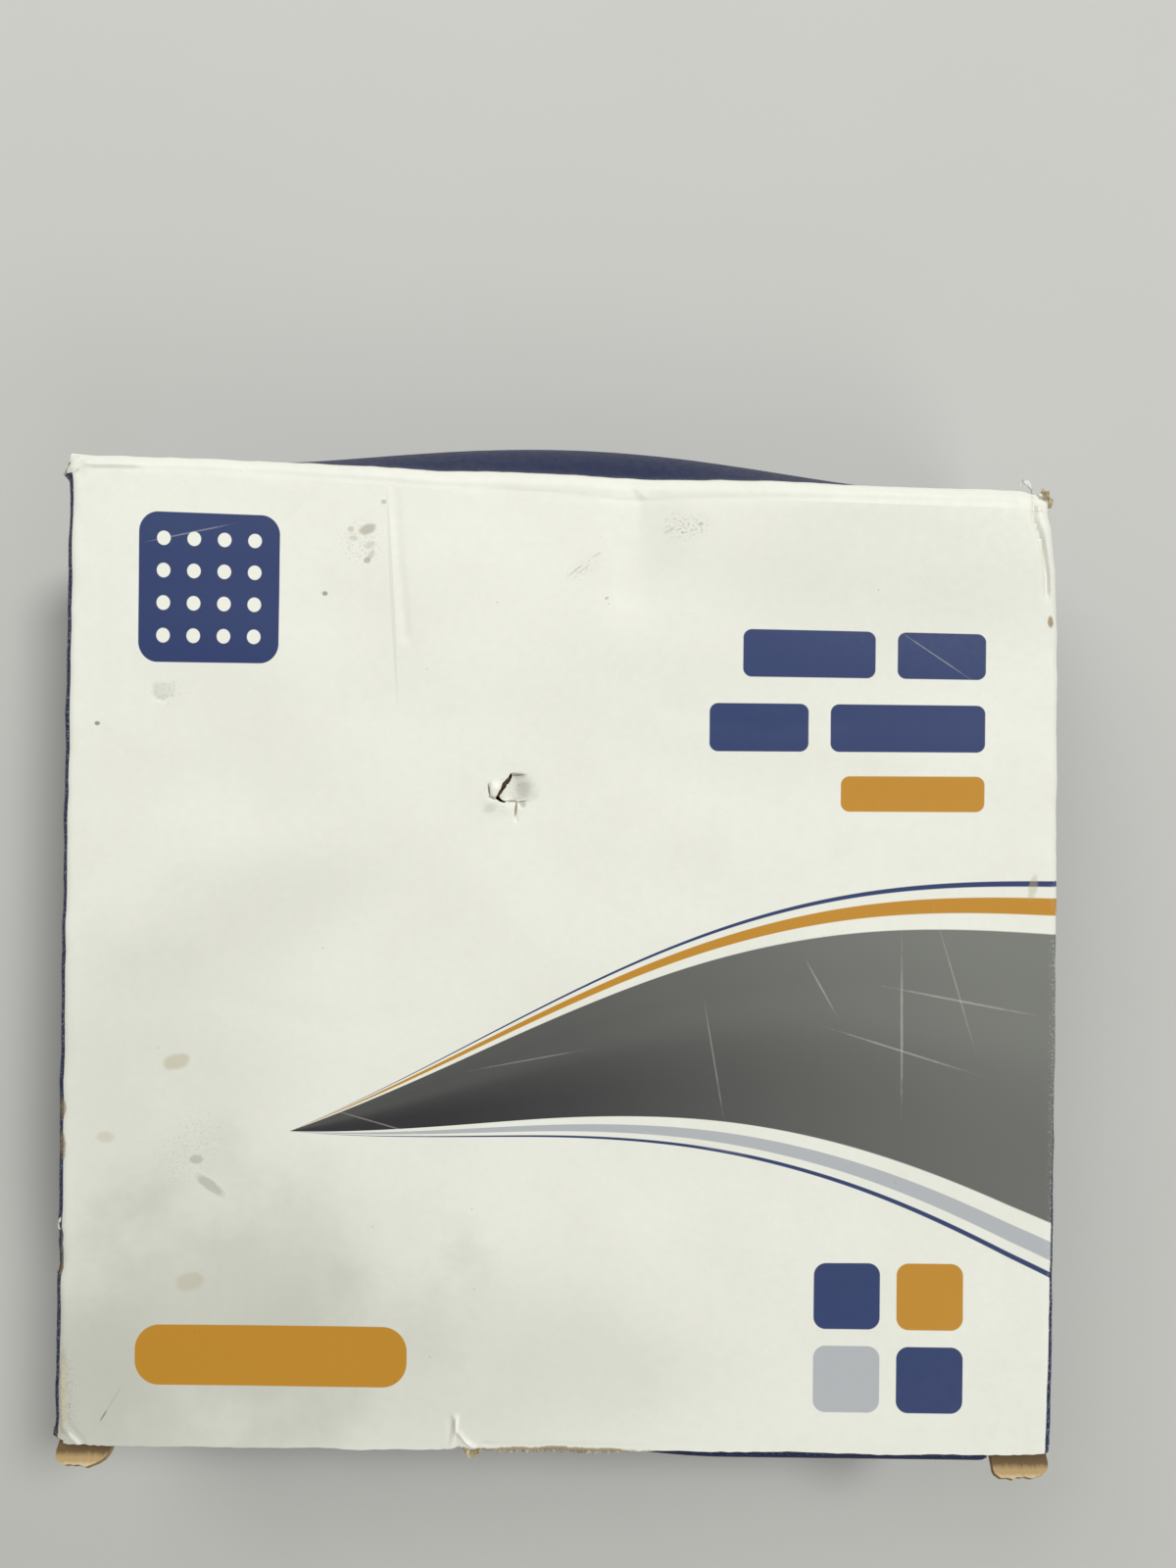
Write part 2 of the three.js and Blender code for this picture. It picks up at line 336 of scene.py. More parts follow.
def wander(points, spacing, seed):
    """Smooth wandering between about -1 and 1, its swells about one spacing apart."""
    random = np.random.default_rng(seed)
    total = np.zeros(len(points))
    for _ in range(8):
        way = random.normal(size=3)
        way *= 2 * math.pi / spacing * random.uniform(0.6, 1.5) / np.linalg.norm(way)
        total += np.cos(points @ way + random.uniform(0, 2 * math.pi))
    return total / 5


def ragged(place, step, seed):
    """Uneven up and down between -1 and 1 along an edge."""
    values = np.random.default_rng(seed).uniform(-1, 1, 4096)
    at = np.asarray(place) / step + 2048
    low = np.floor(at).astype(int) % 4095
    share = at - np.floor(at)
    return values[low] * (1 - share) + values[low + 1] * share


def ramp(value, start, end):
    """0 before the start and 1 after the end, with a smooth rise between them."""
    share = np.clip((value - start) / (end - start), 0, 1)
    return share * share * (3 - 2 * share)


def beside(x, y, corners):
    """Distance from a line through corners of (x, y, half width), the half width there, and the way out.

    The distance is positive to the left of the line and negative to its right.
    """
    nearest, side, width = np.full(len(x), 1e9), np.ones(len(x)), np.zeros(len(x))
    out = np.zeros((len(x), 2))
    for (ax, ay, *a_half), (bx, by, *b_half) in zip(corners, corners[1:]):
        dx, dy = bx - ax, by - ay
        share = np.clip(((x - ax) * dx + (y - ay) * dy) / (dx * dx + dy * dy), 0, 1)
        way = np.stack([x - ax - share * dx, y - ay - share * dy], 1)
        distance = np.hypot(*way.T)
        closer = distance < nearest
        nearest = np.where(closer, distance, nearest)
        side = np.where(closer, np.where(dx * way[:, 1] - dy * way[:, 0] < 0, -1, 1), side)
        if a_half:
            width = np.where(closer, a_half[0] + share * (b_half[0] - a_half[0]), width)
        out = np.where(closer[:, None], way / np.maximum(distance, 1e-9)[:, None], out)
    return nearest * side, width, out


# How far each edge of the face lies out of true, in millimetres: place along the edge, shift outwards.
TOP_EDGE = (
    (-91, 0.35), (-77, 0.55), (-66, 0.6), (-55, 0.45), (-44, 0.32), (-34, 0.2), (-23, -0.2), (-12, 0.05), (-1, 0.0),
    (10, -0.35), (20, -0.35), (31, 0.05), (42, 0.2), (63, 0.2), (91, 0.3),
)
LEFT_EDGE = (
    (-89, 0.3), (-62, 0.2), (-59, 0.15), (-57.5, -0.15), (-51.5, -0.25), (-50.5, 0.1), (-48, 0.15), (-45.5, 0.0),
    (-33, 0.1), (0, 0.15), (50, -0.1), (80, -0.2), (89, -0.2),
)
RIGHT_EDGE = (
    (-89, 0.4), (-60, 0.5), (-30, 0.55), (9, 0.55), (62, 0.25), (73, -0.1), (80, -0.9), (84, -1.2), (89, -0.9),
)
BOTTOM_EDGE = (
    (-91, 0.6), (-52, 0.7), (-43, 0.6), (-34, 1.0), (-25, 0.7), (-18, 0.5), (-16.4, 0.05), (-14.8, 0.4), (0, 0.3),
    (19, 0.5), (28, 0.3), (46, 0.3), (63, 0.5), (81, 0.3), (91, 0.3),
)
# Creases in the face, in millimetres on the flat board: corners, height (a valley is negative), half width.
FACE_CREASES = (
    (((-30.4, 87.5), (-30.2, 84.4), (-29.1, 71.2), (-27.7, 58.2)), -0.22, 0.85),
    (((12.0, 92), (15.3, 82.8), (14.6, 75.3), (14, 68)), -0.6, 5.2),
    (((12.5, 90), (15.0, 83.6), (14.4, 79)), -0.16, 0.8),
    (((14.4, 86.8), (15.4, 85.4)), 0.25, 0.4),
    (((-87.5, 86.3), (-48.6, 86.3), (-23.3, 85.8), (-1.8, 85.0), (10.8, 84.5), (34, 85.4), (58.9, 86.1), (83, 86.4)),
     -0.09, 0.55),
    (((-89.3, 85.9), (-87.7, 86.6), (-83.9, 86.8), (-77.6, 86.8)), 0.3, 0.5),
    (((-17.1, -83.6), (-16.7, -86.2), (-15.0, -87.8), (-13.3, -88.8)), 0.42, 0.34),
    (((-18.0, -83.9), (-17.6, -86.8), (-16.4, -88.8)), -0.14, 0.7),
    (((-88.4, -75.5), (-88.2, -85.3), (-85.6, -88.0), (-84.8, -89.5)), -0.16, 0.4),
    (((-89.2, -75.5), (-89.0, -86), (-86.2, -88.9)), 0.12, 0.4),
    (((87.8, 88), (87.5, 83.3), (88.0, 81.6), (88.7, 79.4), (88.9, 76.0), (89.1, 69)), -0.8, 0.45),
    (((-11.5, -88.2), (-4, -88.4), (6, -88.3), (16, -88.5)), -0.12, 0.4),
    (((-74.2, 48.9), (-74.0, 47.1), (-72.5, 46.4), (-71.0, 47.1), (-70.8, 49.2)), -0.16, 0.4),
    (((20, 46), (38, 42), (52, 44)), -0.1, 1.6),
    (((-60, -8), (-40, -13), (-22, -11)), -0.1, 1.8),
)
# The slit that a blow has torn in the face, with its half width, and the cracks that run from it.
SLIT = (
    (-8.15, 33.7, 0.12), (-8.45, 32.9, 0.32), (-9.3, 31.75, 0.38), (-9.8, 30.8, 0.24), (-10.4, 29.9, 0.2),
    (-10.7, 29.3, 0.26), (-10.1, 28.8, 0.28), (-9.4, 28.55, 0.22), (-8.7, 28.65, 0.04),
)
CRACKS = (
    (((-12.1, 31.7), (-12.2, 30.7), (-12.1, 29.9), (-11.7, 29.4), (-10.9, 29.2)), -0.45, 0.22),
    (((-8.5, 28.75), (-7.5, 28.8), (-7.3, 27.6), (-7.1, 25.2)), -0.35, 0.2),
    (((-6.8, 28.8), (-6.2, 27.9), (-5.5, 28.8)), -0.16, 0.4),
)
# Crushed corners of the carton, in millimetres: place, reach, shift and crumpling.
CORNERS = (
    ((-91, 88.5, 45.5), 5.5, (-0.5, 0.3, -1.1), 0.5),
    ((-91, 85.6, 44.5), 1.4, (-1.2, 0.0, -0.3), 0.3),
    ((90.5, 88, 45), 4.5, (-0.5, -0.5, -1.2), 0.5),
    ((-91, -89, 46), 3.6, (-0.5, 0.3, -0.8), 0.45),
    ((91, -89, 46), 2.4, (-0.1, 0.1, -0.2), 0.12),
    ((-91, 89, 0), 6.0, (0.6, -0.4, 0.7), 0.5),
    ((91, 89, 0), 5.0, (-0.5, -0.3, 0.4), 0.4),
    ((91, -89, 0), 6.0, (-0.6, 0.5, 0.6), 0.5),
    ((-91, -89, 0), 4.0, (0.4, 0.3, 0.4), 0.4),
)


def wear(outer, normal):
    """How far each point of the folded carton has been pushed by use, in metres."""
    sizes = bpy.context.scene.carton_sizes
    mm = outer / MM
    x, y, z = mm.T
    half, half_length, depth = sizes.width / 2 / MM, sizes.length / 2 / MM, sizes.depth / MM
    facing = normal[:, 2]
    on_face = ramp(z, depth - 2.2, depth - 0.6) * (facing > -0.2)
    shift = np.zeros_like(mm)

    # The carton is knocked out of square, and no edge of its face runs quite straight.
    shift[:, 0] += sizes.lean / MM * y / 90
    shift[:, 1] -= ramp(y, half_length - 60, half_length - 1) * ramp(z, 4, depth - 4) * x / 90 * sizes.top_skew / MM
    high = ramp(z, depth - 9, depth - 1)
    for axis, way, place, edge, true, reach in (
        (1, 1, x, TOP_EDGE, half_length, 12), (1, -1, x, BOTTOM_EDGE, half_length, 7),
        (0, -1, y, LEFT_EDGE, half, 9), (0, 1, y, RIGHT_EDGE, half, 9),
    ):
        near = ramp(way * mm[:, axis], true - reach, true - 0.8) * (high if way != -1 or axis == 0 else on_face)
        shift[:, axis] += way * near * np.interp(place, *zip(*edge))

    # Every panel has lost a little of its flatness, least along the folds. The back is only pressed in.
    edge = np.minimum(half - np.abs(x), half_length - np.abs(y))
    free = ramp(edge, -1, 22) * (np.abs(facing) > 0.7)
    lift = free * (0.28 * wander(mm, 70, 3) + 0.14 * wander(mm, 24, 4))
    shift[:, 2] += np.where(facing < 0, np.abs(lift), lift - 0.1 * (facing > 0.7))
    rise = 1 - ((z - depth / 2) / (depth / 2)) ** 2
    on_wall = (np.abs(normal[:, 0]) > 0.7) * np.clip(rise, 0, 1) * ramp(half_length - np.abs(y), 2, 25)
    shift[:, 0] += np.sign(normal[:, 0]) * on_wall * (0.6 + 0.35 * wander(mm, 60, 5))

    # The folds are scuffed uneven.
    near_fold = ramp(np.abs(x), 87, 90) * ramp(np.abs(z - depth / 2), depth / 2 - 5, depth / 2 - 1)
    near_fold += ramp(y, half_length - 5, half_length - 2) * ramp(z, depth - 6, depth - 2)
    shift += normal * (near_fold * (0.13 * wander(mm, 12, 6) + 0.07 * wander(mm, 4.2, 7)))[:, None]

    for corners, height, width in FACE_CREASES:
        shift[:, 2] += on_face * height * np.exp(-((beside(x, y, corners)[0] / width) ** 2))

    # The blow pressed in the board to the right of the slit, and raised a lip to its left.
    slit = beside(x, y, SLIT)[0]
    flap = ramp(-x, 4.6, 7.9) * ramp(33.9 - 0.02 * (x + 8) ** 2 - y, 0, 0.55) * ramp(y, 28.5, 29.0) * (slit > 0)
    shift[:, 2] -= on_face * (0.95 * flap + 0.25 * np.exp(-(((x + 6.4) / 2.6) ** 2 + ((y - 30.6) / 2.4) ** 2)))
    for lip_x, lip_y, rise, reach in ((-11.1, 31.0, 0.42, 1.05), (-11.6, 28.2, 0.34, 1.3), (-8.9, 27.6, 0.18, 1.2)):
        lip = np.exp(-(((x - lip_x) ** 2 + (y - lip_y) ** 2) / reach**2))
        shift[:, 2] += on_face * rise * lip * (1 - (slit > 0) * ramp(y, 28.6, 29.2))
    for corners, height, width in CRACKS:
        shift[:, 2] += on_face * height * np.exp(-((beside(x, y, corners)[0] / width) ** 2))

    for place, spread, move, crumpling in CORNERS:
        near = np.exp(-(((mm - place) / spread) ** 2).sum(1) * 1.6)[:, None]
        crumple = crumpling * np.stack([wander(mm, 3.4, 20 + i) for i in range(3)], 1)
        shift += near * (np.array(move) + crumple)

    # The face's cut edge is frayed, and its left fold is bruised where it is notched.
    cut_edge = on_face * ramp(-y, half_length - 1.6, half_length)
    shift[:, 1] += cut_edge * (0.1 * ragged(x, 0.7, 11) + 0.14 * ragged(x, 4, 12))
    notch = np.exp(-(((y + 53.5) / 4.6) ** 4)) * ramp(-x, 87.5, 90.5) * ramp(z, depth - 9, depth - 3)
    shift[:, 0] += notch * 0.18 * ragged(y, 0.9, 14)
    shift[:, 2] -= notch * (0.2 + 0.15 * ragged(y, 1.4, 15))
    # Nothing sinks into the floor.
    shift[:, 2] = np.maximum(shift[:, 2], -z)
    return shift * MM


def plug(tree, node, inputs):
    """Gives a node's inputs their values, or links each to the socket that stands for its value."""
    for name, value in inputs.items():
        if isinstance(value, bpy.types.NodeSocket):
            tree.links.new(value, node.inputs[name])
        else:
            node.inputs[name].default_value = value


def add_node(tree, kind, inputs=None, output=0, **settings):
    """Adds a shader node with its inputs and settings, and gives back one of its outputs."""
    added = tree.nodes.new("ShaderNode" + kind)
    for name, value in settings.items():
        setattr(added, name, value)
    plug(tree, added, inputs or {})
    return added.outputs[output]


def start_material(name):
    """An empty material: itself, its tree and its surface shader."""
    material = bpy.data.materials.new(name)
    material.use_nodes = True
    tree = material.node_tree
    return material, tree, next(n for n in tree.nodes if n.type == "BSDF_PRINCIPLED")


def under_coats(tree, base, coats):
    """The base colour under coats of (share, colour), each laid as soon as it is made.

    A shader can hold only so many values at a time, so many coats come one by one from a generator.
    """
    for share, colour in coats:
        over = colour if isinstance(colour, bpy.types.NodeSocket) else tuple(colour)
        base = add_node(tree, "Mix", {0: share, 6: base, 7: over}, 2, data_type="RGBA")
    return base


def dress(tree, shader, colour, roughness, relief, strength, height):
    """Gives a surface its colour, its roughness and a fine relief of this height in millimetres."""
    bump = add_node(tree, "Bump", {"Height": relief, "Strength": strength, "Distance": height * MM})
    plug(tree, shader, {"Base Color": colour, "Roughness": roughness, "Normal": bump})


def flat_millimetres(tree):
    """Where each point lies on the flat board, in millimetres: its place, then across, along and deep."""
    place = add_node(tree, "Attribute", output=1, attribute_name="flat")
    place = add_node(tree, "VectorMath", {0: place, "Scale": 1 / MM}, operation="SCALE")
    apart = add_node(tree, "SeparateXYZ", {0: place}).node
    return place, apart.outputs[0], apart.outputs[1], apart.outputs[2]


def patch(tree, place, grain, centre, radii, angle, strength, raggedness, softness=0.6):
    """The strength inside an oval patch and 0 outside, with a soft border that the grain makes ragged."""
    turn = math.radians(angle)
    axes = Matrix(((math.cos(turn), math.sin(turn)), (-math.sin(turn), math.cos(turn))))
    axes = [axis / radius for axis, radius in zip(axes, radii)]
    parts = [add_node(tree, "VectorMath", {0: place, 1: (*axis, 0)}, 1, operation="DOT_PRODUCT") for axis in axes]
    local = add_node(tree, "CombineXYZ", dict(enumerate(parts)))
    middle = tuple(axis.dot(Vector(centre)) for axis in axes)
    reach = add_node(tree, "VectorMath", {0: local, 1: (*middle, 0)}, 1, operation="DISTANCE")
    reach = add_node(tree, "Math", {0: grain, 1: 2 * raggedness, 2: reach}, operation="MULTIPLY_ADD")
    outside, inside = 1 + raggedness + softness / 2, 1 + raggedness - softness / 2
    return add_node(
        tree, "MapRange", {0: reach, 1: outside, 2: inside, 4: strength}, interpolation_type="SMOOTHSTEP",
    )


def between(tree, value, low, high, soft, strength=1.0):
    """The strength between two values and 0 outside them."""
    rise = add_node(tree, "MapRange", {0: value, 1: low - soft, 2: low + soft})
    fall = add_node(tree, "MapRange", {0: value, 1: high - soft, 2: high + soft, 3: strength, 4: 0.0})
    return add_node(tree, "Math", {0: rise, 1: fall}, operation="MULTIPLY")


def rounded_bar(tree, place, left, right, low, high, corner):
    """1 inside a bar with rounded corners and 0 outside it."""
    middle = ((left + right) / 2, (low + high) / 2, 0)
    straight = ((right - left) / 2 - corner, (high - low) / 2 - corner, 100)
    offset = add_node(tree, "VectorMath", {0: place, 1: middle}, operation="SUBTRACT")
    folded = add_node(tree, "VectorMath", {0: offset}, operation="ABSOLUTE")
    beyond = add_node(tree, "VectorMath", {0: folded, 1: straight}, operation="SUBTRACT")
    outside = add_node(tree, "VectorMath", {0: beyond, 1: (0, 0, 0)}, operation="MAXIMUM")
    reach = add_node(tree, "VectorMath", {0: outside}, 1, operation="LENGTH")
    return add_node(tree, "MapRange", {0: reach, 1: corner + 0.06, 2: corner - 0.06})


def printed_design(tree, place, x, y, colours):
    """The face's plain printed design, coat by coat: a grey wave, ribbons, bars and dots."""
    # The broad wave starts in a point and swings 10 mm up and down over 230 mm. It is lighter along its
    # upper side, where a band of painted sheen lies, and towards the right, where it is 28 mm wide each way;
    # the lightening towards the right is painted reflection together with dust.
    turn = add_node(tree, "Math", {0: x, 1: 2 * math.pi / 230, 2: 0.4}, operation="MULTIPLY_ADD")
    sine = add_node(tree, "Math", {0: turn}, operation="SINE")
    wave = add_node(tree, "Math", {0: sine, 1: 10.0, 2: -24.0}, operation="MULTIPLY_ADD")
    offset = add_node(tree, "Math", {0: y, 1: wave}, operation="SUBTRACT")
    width = add_node(tree, "MapRange", {0: x, 1: -48.0, 2: 100.0, 3: 1e-3, 4: 28.0})
    share = add_node(tree, "Math", {0: offset, 1: width}, operation="DIVIDE")
    # Lighter towards the right: painted reflection together with dust on the print.
    along = add_node(tree, "MapRange", {0: x, 1: -30.0, 2: 95.0, 4: 0.62}, interpolation_type="SMOOTHSTEP")
    upper = add_node(tree, "MapRange", {0: share, 1: -0.7, 2: 1.0, 4: 0.3}, interpolation_type="SMOOTHSTEP")
    # A band of painted sheen along the wave's upper side.
    sheen = between(tree, share, 0.18, 0.36, 0.22, 0.12)
    tone = add_node(tree, "Math", {0: along, 1: upper}, operation="ADD")
    tone = add_node(tree, "Math", {0: tone, 1: sheen}, operation="ADD")
    grey = add_node(tree, "Mix", {0: tone, 6: tuple(colours.charcoal), 7: tuple(colours.ash)}, 2, data_type="RGBA")
    yield between(tree, share, -1.0, 1.0, 0.005), grey
    for low, high, colour in (
        (1.13, 1.25, colours.ochre), (1.33, 1.37, colours.navy), (-1.26, -1.13, colours.silver),
        (-1.38, -1.34, colours.navy),
    ):
        yield between(tree, share, low, high, 0.004), colour

    for bar, colour in (
        ((-77, -51, 53, 79, 3.5), colours.navy),
        ((34, 58, 52, 61, 1.6), colours.navy), ((62, 78, 52, 61, 1.6), colours.navy),
        ((28, 46, 38, 47, 1.6), colours.navy), ((50, 78, 38, 47, 1.6), colours.navy),
        ((52, 78, 27, 33.5, 1.6), colours.ochre),
        ((-76, -26, -78.5, -67.5, 4.5), colours.ochre),
        ((48, 60, -67, -55, 2.2), colours.navy), ((63, 75, -67, -55, 2.2), colours.ochre),
        ((48, 60, -82, -70, 2.2), colours.silver), ((63, 75, -82, -70, 2.2), colours.navy),
    ):
        yield rounded_bar(tree, place, *bar), colour

    # Four rows of four dots, 5.6 mm apart, on the navy square.
    cells = add_node(
        tree, "VectorMath", {0: place, 1: (1 / 5.6, 1 / 5.6, 0), 2: (64 / 5.6, -66 / 5.6, 0.5)},
        operation="MULTIPLY_ADD",
    )
    cell = add_node(tree, "VectorMath", {0: cells}, operation="FRACTION")
    reach = add_node(tree, "VectorMath", {0: cell, 1: (0.5, 0.5, 0.5)}, 1, operation="DISTANCE")
    dot = add_node(tree, "MapRange", {0: reach, 1: 0.235, 2: 0.215})
    square = rounded_bar(tree, place, -75.2, -52.8, 54.8, 77.2, 1.0)
    dots = add_node(tree, "Math", {0: dot, 1: square}, operation="MULTIPLY")
    yield dots, colours.paper


def navy_walls(tree, piece, x, y, colours, sizes):
    """Navy over the walls, closures and dust flaps, in the darker walls navy, which is painted shade: the white of the
    face stops just over each fold.
    """
    # The walls navy laid here is painted shade over the navy print.
    if piece == "closure":
        yield between(tree, y, 89.7, 1000.0, 0.07), colours.walls
    elif piece == "dust_flap":
        yield between(tree, y, -100.0, 15.0, 0.07), colours.walls
    else:
        # The white runs 27 degrees round the left fold, and 68 degrees round the right one, a little aslant.
        marks = sleeve_marks(sizes)
        left_start = marks["spans"]["face"][0] / MM - sizes.left_fold / MM * math.radians(27)
        yield between(tree, x, marks["left wall"] / MM, left_start, 0.07), colours.walls
        lean = add_node(tree, "Math", {0: y, 1: -0.0184, 2: x}, operation="MULTIPLY_ADD")
        right_start = marks["spans"]["face"][1] / MM + sizes.right_fold / MM * math.radians(68)
        yield between(tree, lean, right_start, marks["right wall"] / MM + 5, 0.07), colours.walls


# Stains and rubs on the face, in millimetres and degrees: centre, radii, turn, strength, raggedness and kind. Some are
# painted light: the 'torn' white on the raised lip by the slit, along the bottom tear's ridge and on the crease at the
# lower left corner is painted highlight, and the 'soot' on the pressed-in flap, under the lip, along the flap's top
# step and left of the bottom tear's ridge is painted shade.
FACE_MARKS = (
    ((-34.9, 77.2), (1.6, 0.9), 20, 0.5, 0.5, "brown"), ((-38.0, 77.1), (0.6, 0.5), 0, 0.35, 0.4, "brown"),
    ((-37.5, 75.5), (0.9, 0.5), 0, 0.25, 0.5, "brown"), ((-34.9, 71.6), (0.6, 0.5), 0, 0.5, 0.4, "brown"),
    ((-34.2, 72.6), (1.0, 0.5), 60, 0.3, 0.5, "brown"), ((-34.4, 74.4), (0.9, 0.5), 30, 0.25, 0.5, "soot"),
    ((-32.0, 82.2), (0.5, 0.4), 0, 0.4, 0.3, "soot"), ((-42.6, 65.5), (0.5, 0.4), 0, 0.7, 0.2, "soot"),
    ((-84.4, 42.3), (0.5, 0.35), 0, 0.8, 0.2, "soot"), ((-72.5, 48.0), (2.0, 1.5), 0, 0.14, 0.4, "soot"),
    ((-69.0, -19.3), (2.4, 1.4), 15, 0.42, 0.5, "yellow"), ((-62.4, -42.0), (3.0, 0.9), -35, 0.36, 0.5, "soot"),
    ((-66.1, -59.6), (2.6, 1.6), 10, 0.32, 0.5, "yellow"), ((-81.8, -33.2), (1.6, 1.0), 0, 0.26, 0.5, "yellow"),
    ((-65.1, -37.2), (1.2, 0.8), 0, 0.34, 0.5, "soot"),
    ((26.0, 80.4), (0.45, 0.3), 20, 0.4, 0.5, "soot"), ((20.3, 79.0), (1.0, 0.3), 30, 0.2, 0.7, "soot"),
    ((3.2, 71.0), (1.9, 0.16), 40, 0.24, 0.6, "soot"), ((4.6, 71.2), (1.6, 0.14), 38, 0.2, 0.6, "soot"),
    ((7.1, 74.0), (0.9, 0.18), 35, 0.22, 0.4, "soot"), ((9.0, 66.1), (0.4, 0.2), 40, 0.5, 0.4, "soot"),
    ((86.6, 13.5), (2.2, 0.7), 80, 0.4, 0.6, "yellow"), ((89.4, 63.7), (0.5, 1.2), 0, 0.85, 0.4, "kraft"),
    ((-89.9, -28.2), (0.7, 1.8), 0, 0.7, 0.6, "kraft"), ((-89.9, -34.9), (0.7, 2.4), 5, 0.7, 0.6, "kraft"),
    ((-89.9, -53.8), (0.3, 4.0), 0, 0.3, 0.6, "yellow"), ((-90.1, -57.6), (0.4, 1.2), 0, 0.6, 0.5, "kraft"),
    # The 'torn' mark at (-86.6, -88.0) is a painted highlight on the crease at the lower left corner.
    ((-89.0, -80.0), (0.8, 8.0), 0, 0.4, 0.7, "yellow"), ((-86.6, -88.0), (1.6, 0.3), -45, 0.5, 0.5, "torn"),
    ((-81.6, -84.1), (0.16, 1.1), -35, 0.7, 0.3, "soot"), ((-79.8, -81.3), (0.08, 2.9), -32, 0.35, 0.4, "soot"),
    # By the slit, the 'torn' mark at (-11.2, 30.9) is a painted highlight on the raised lip, and the 'soot' marks at
    # (-6.0, 30.6), (-5.8, 30.9) and (-11.6, 27.6) are painted shade on the pressed-in flap and under the lip.
    ((-11.2, 30.9), (0.8, 1.5), -20, 0.55, 0.5, "torn"), ((-6.0, 30.6), (2.6, 2.2), 0, 0.16, 1.0, "soot"),
    ((-5.8, 30.9), (1.4, 1.3), 10, 0.16, 0.8, "soot"), ((-11.6, 27.6), (1.4, 0.8), 30, 0.14, 0.8, "soot"),
    ((-12.15, 30.7), (0.17, 1.2), 8, 0.8, 0.3, "tear"), ((-11.6, 29.3), (0.8, 0.16), -25, 0.75, 0.3, "tear"),
    ((-7.2, 27.2), (0.22, 1.5), -6, 0.8, 0.4, "kraft"), ((-8.0, 28.7), (0.9, 0.16), 0, 0.7, 0.4, "tear"),
    # The two 'soot' marks on the next line are a painted shadow along the top step of the pressed-in flap.
    ((-6.7, 33.5), (1.3, 0.2), 3, 0.5, 0.5, "soot"), ((-6.5, 33.1), (1.0, 0.4), 0, 0.2, 0.7, "soot"),
    ((-6.2, 28.6), (0.8, 0.14), 10, 0.6, 0.5, "tear"), ((-5.9, 28.0), (0.5, 0.5), 30, 0.4, 0.7, "soot"),
    # The 'soot' mark at (-17.6, -86.2) is a painted shadow left of the bottom tear's ridge, and the two 'torn' marks
    # after it are painted highlight along that ridge.
    ((0.6, -89.1), (17.6, 0.5), 0, 0.85, 0.8, "kraft"), ((-17.6, -86.2), (0.4, 2.2), -8, 0.2, 0.6, "soot"),
    ((-16.7, -85.6), (0.3, 2.4), -6, 0.7, 0.3, "torn"), ((-15.0, -88.0), (1.8, 0.5), -35, 0.6, 0.4, "torn"),
    ((-88.8, 86.8), (1.8, 1.0), 40, 0.5, 0.7, "kraft"), ((88.6, 86.5), (1.3, 1.3), 0, 0.8, 0.6, "kraft"),
    ((-30.3, 66.0), (0.35, 18.0), 3.5, 0.12, 0.5, "soot"),
)
# Fine scattered dirt, given as the marks are.
SCATTERED = (
    ((24.0, 79.8), (3.6, 1.9), 15, 0.6, 0.7), ((20.6, 80.8), (2.2, 1.2), 40, 0.3, 0.7),
    ((-36.0, 74.8), (3.2, 3.4), 0, 0.4, 0.8), ((-71.5, 47.5), (3.0, 2.0), 0, 0.3, 0.8),
    ((-66.0, -35.0), (5.0, 7.0), -30, 0.25, 0.9), ((5.0, 71.6), (3.6, 1.4), 38, 0.3, 0.8),
    ((-8.0, 29.8), (4.4, 3.2), 0, 0.25, 0.9), ((-89.0, -82), (2.4, 8), 0, 0.5, 0.8),
)
# Wide clouds of grey, given as the marks are. The ones over the lower left, along the bottom, at the top right and
# right of the V crease near the top are painted shade; the two in the middle are grey from handling.
SHADE_AND_HANDLING_CLOUDS = (
    ((-55, 8), (24, 9), 20, 0.1, 0.9), ((-66, -70), (36, 24), 20, 0.36, 0.9), ((-20, -76), (44, 15), 5, 0.18, 0.9),
    ((22, 48), (28, 11), -12, 0.05, 0.9), ((19, 80), (7, 7), 0, 0.05, 0.6), ((62, 72), (34, 16), 0, 0.14, 0.9),
    ((-82, -78), (10, 22), 0, 0.14, 0.6), ((-74, -24), (22, 26), 10, 0.14, 0.9),
)
# Scratches through the ink, in millimetres: from, to, half width and strength.
SCRATCHES = (
    ((63.4, -5.3), (83.8, -9.1), 0.18, 0.3), ((53.7, -13.4), (73.3, -19.4), 0.16, 0.3),
    ((46.5, -1.0), (51.0, -8.9), 0.14, 0.3), ((63.3, 0.0), (63.5, -23.1), 0.2, 0.32),
    ((17, -31.5), (33, -35), 0.3, 0.22), ((-40, -28), (-22, -33), 0.12, 0.25), ((70, 6), (76, -14), 0.12, 0.25),
    ((28, -10), (31, -27), 0.12, 0.25), ((-12, -20), (4, -17), 0.1, 0.25), ((36, 2), (57, 6), 0.1, 0.25),
    ((-74, 74), (-61, 77), 0.12, 0.3), ((64, 60), (74, 53), 0.12, 0.3),
)
# 'torn' stands for torn paper and for painted highlight, 'soot' for dirt and for painted shade, as the marks table
# says.
MARK_COLOURS = {
    "soot": "#77786C", "brown": "#8C7F62", "yellow": "#B0A47C", "kraft": "#8F7850", "torn": "#F4F3EB",
    "tear": "#5B543F",
}


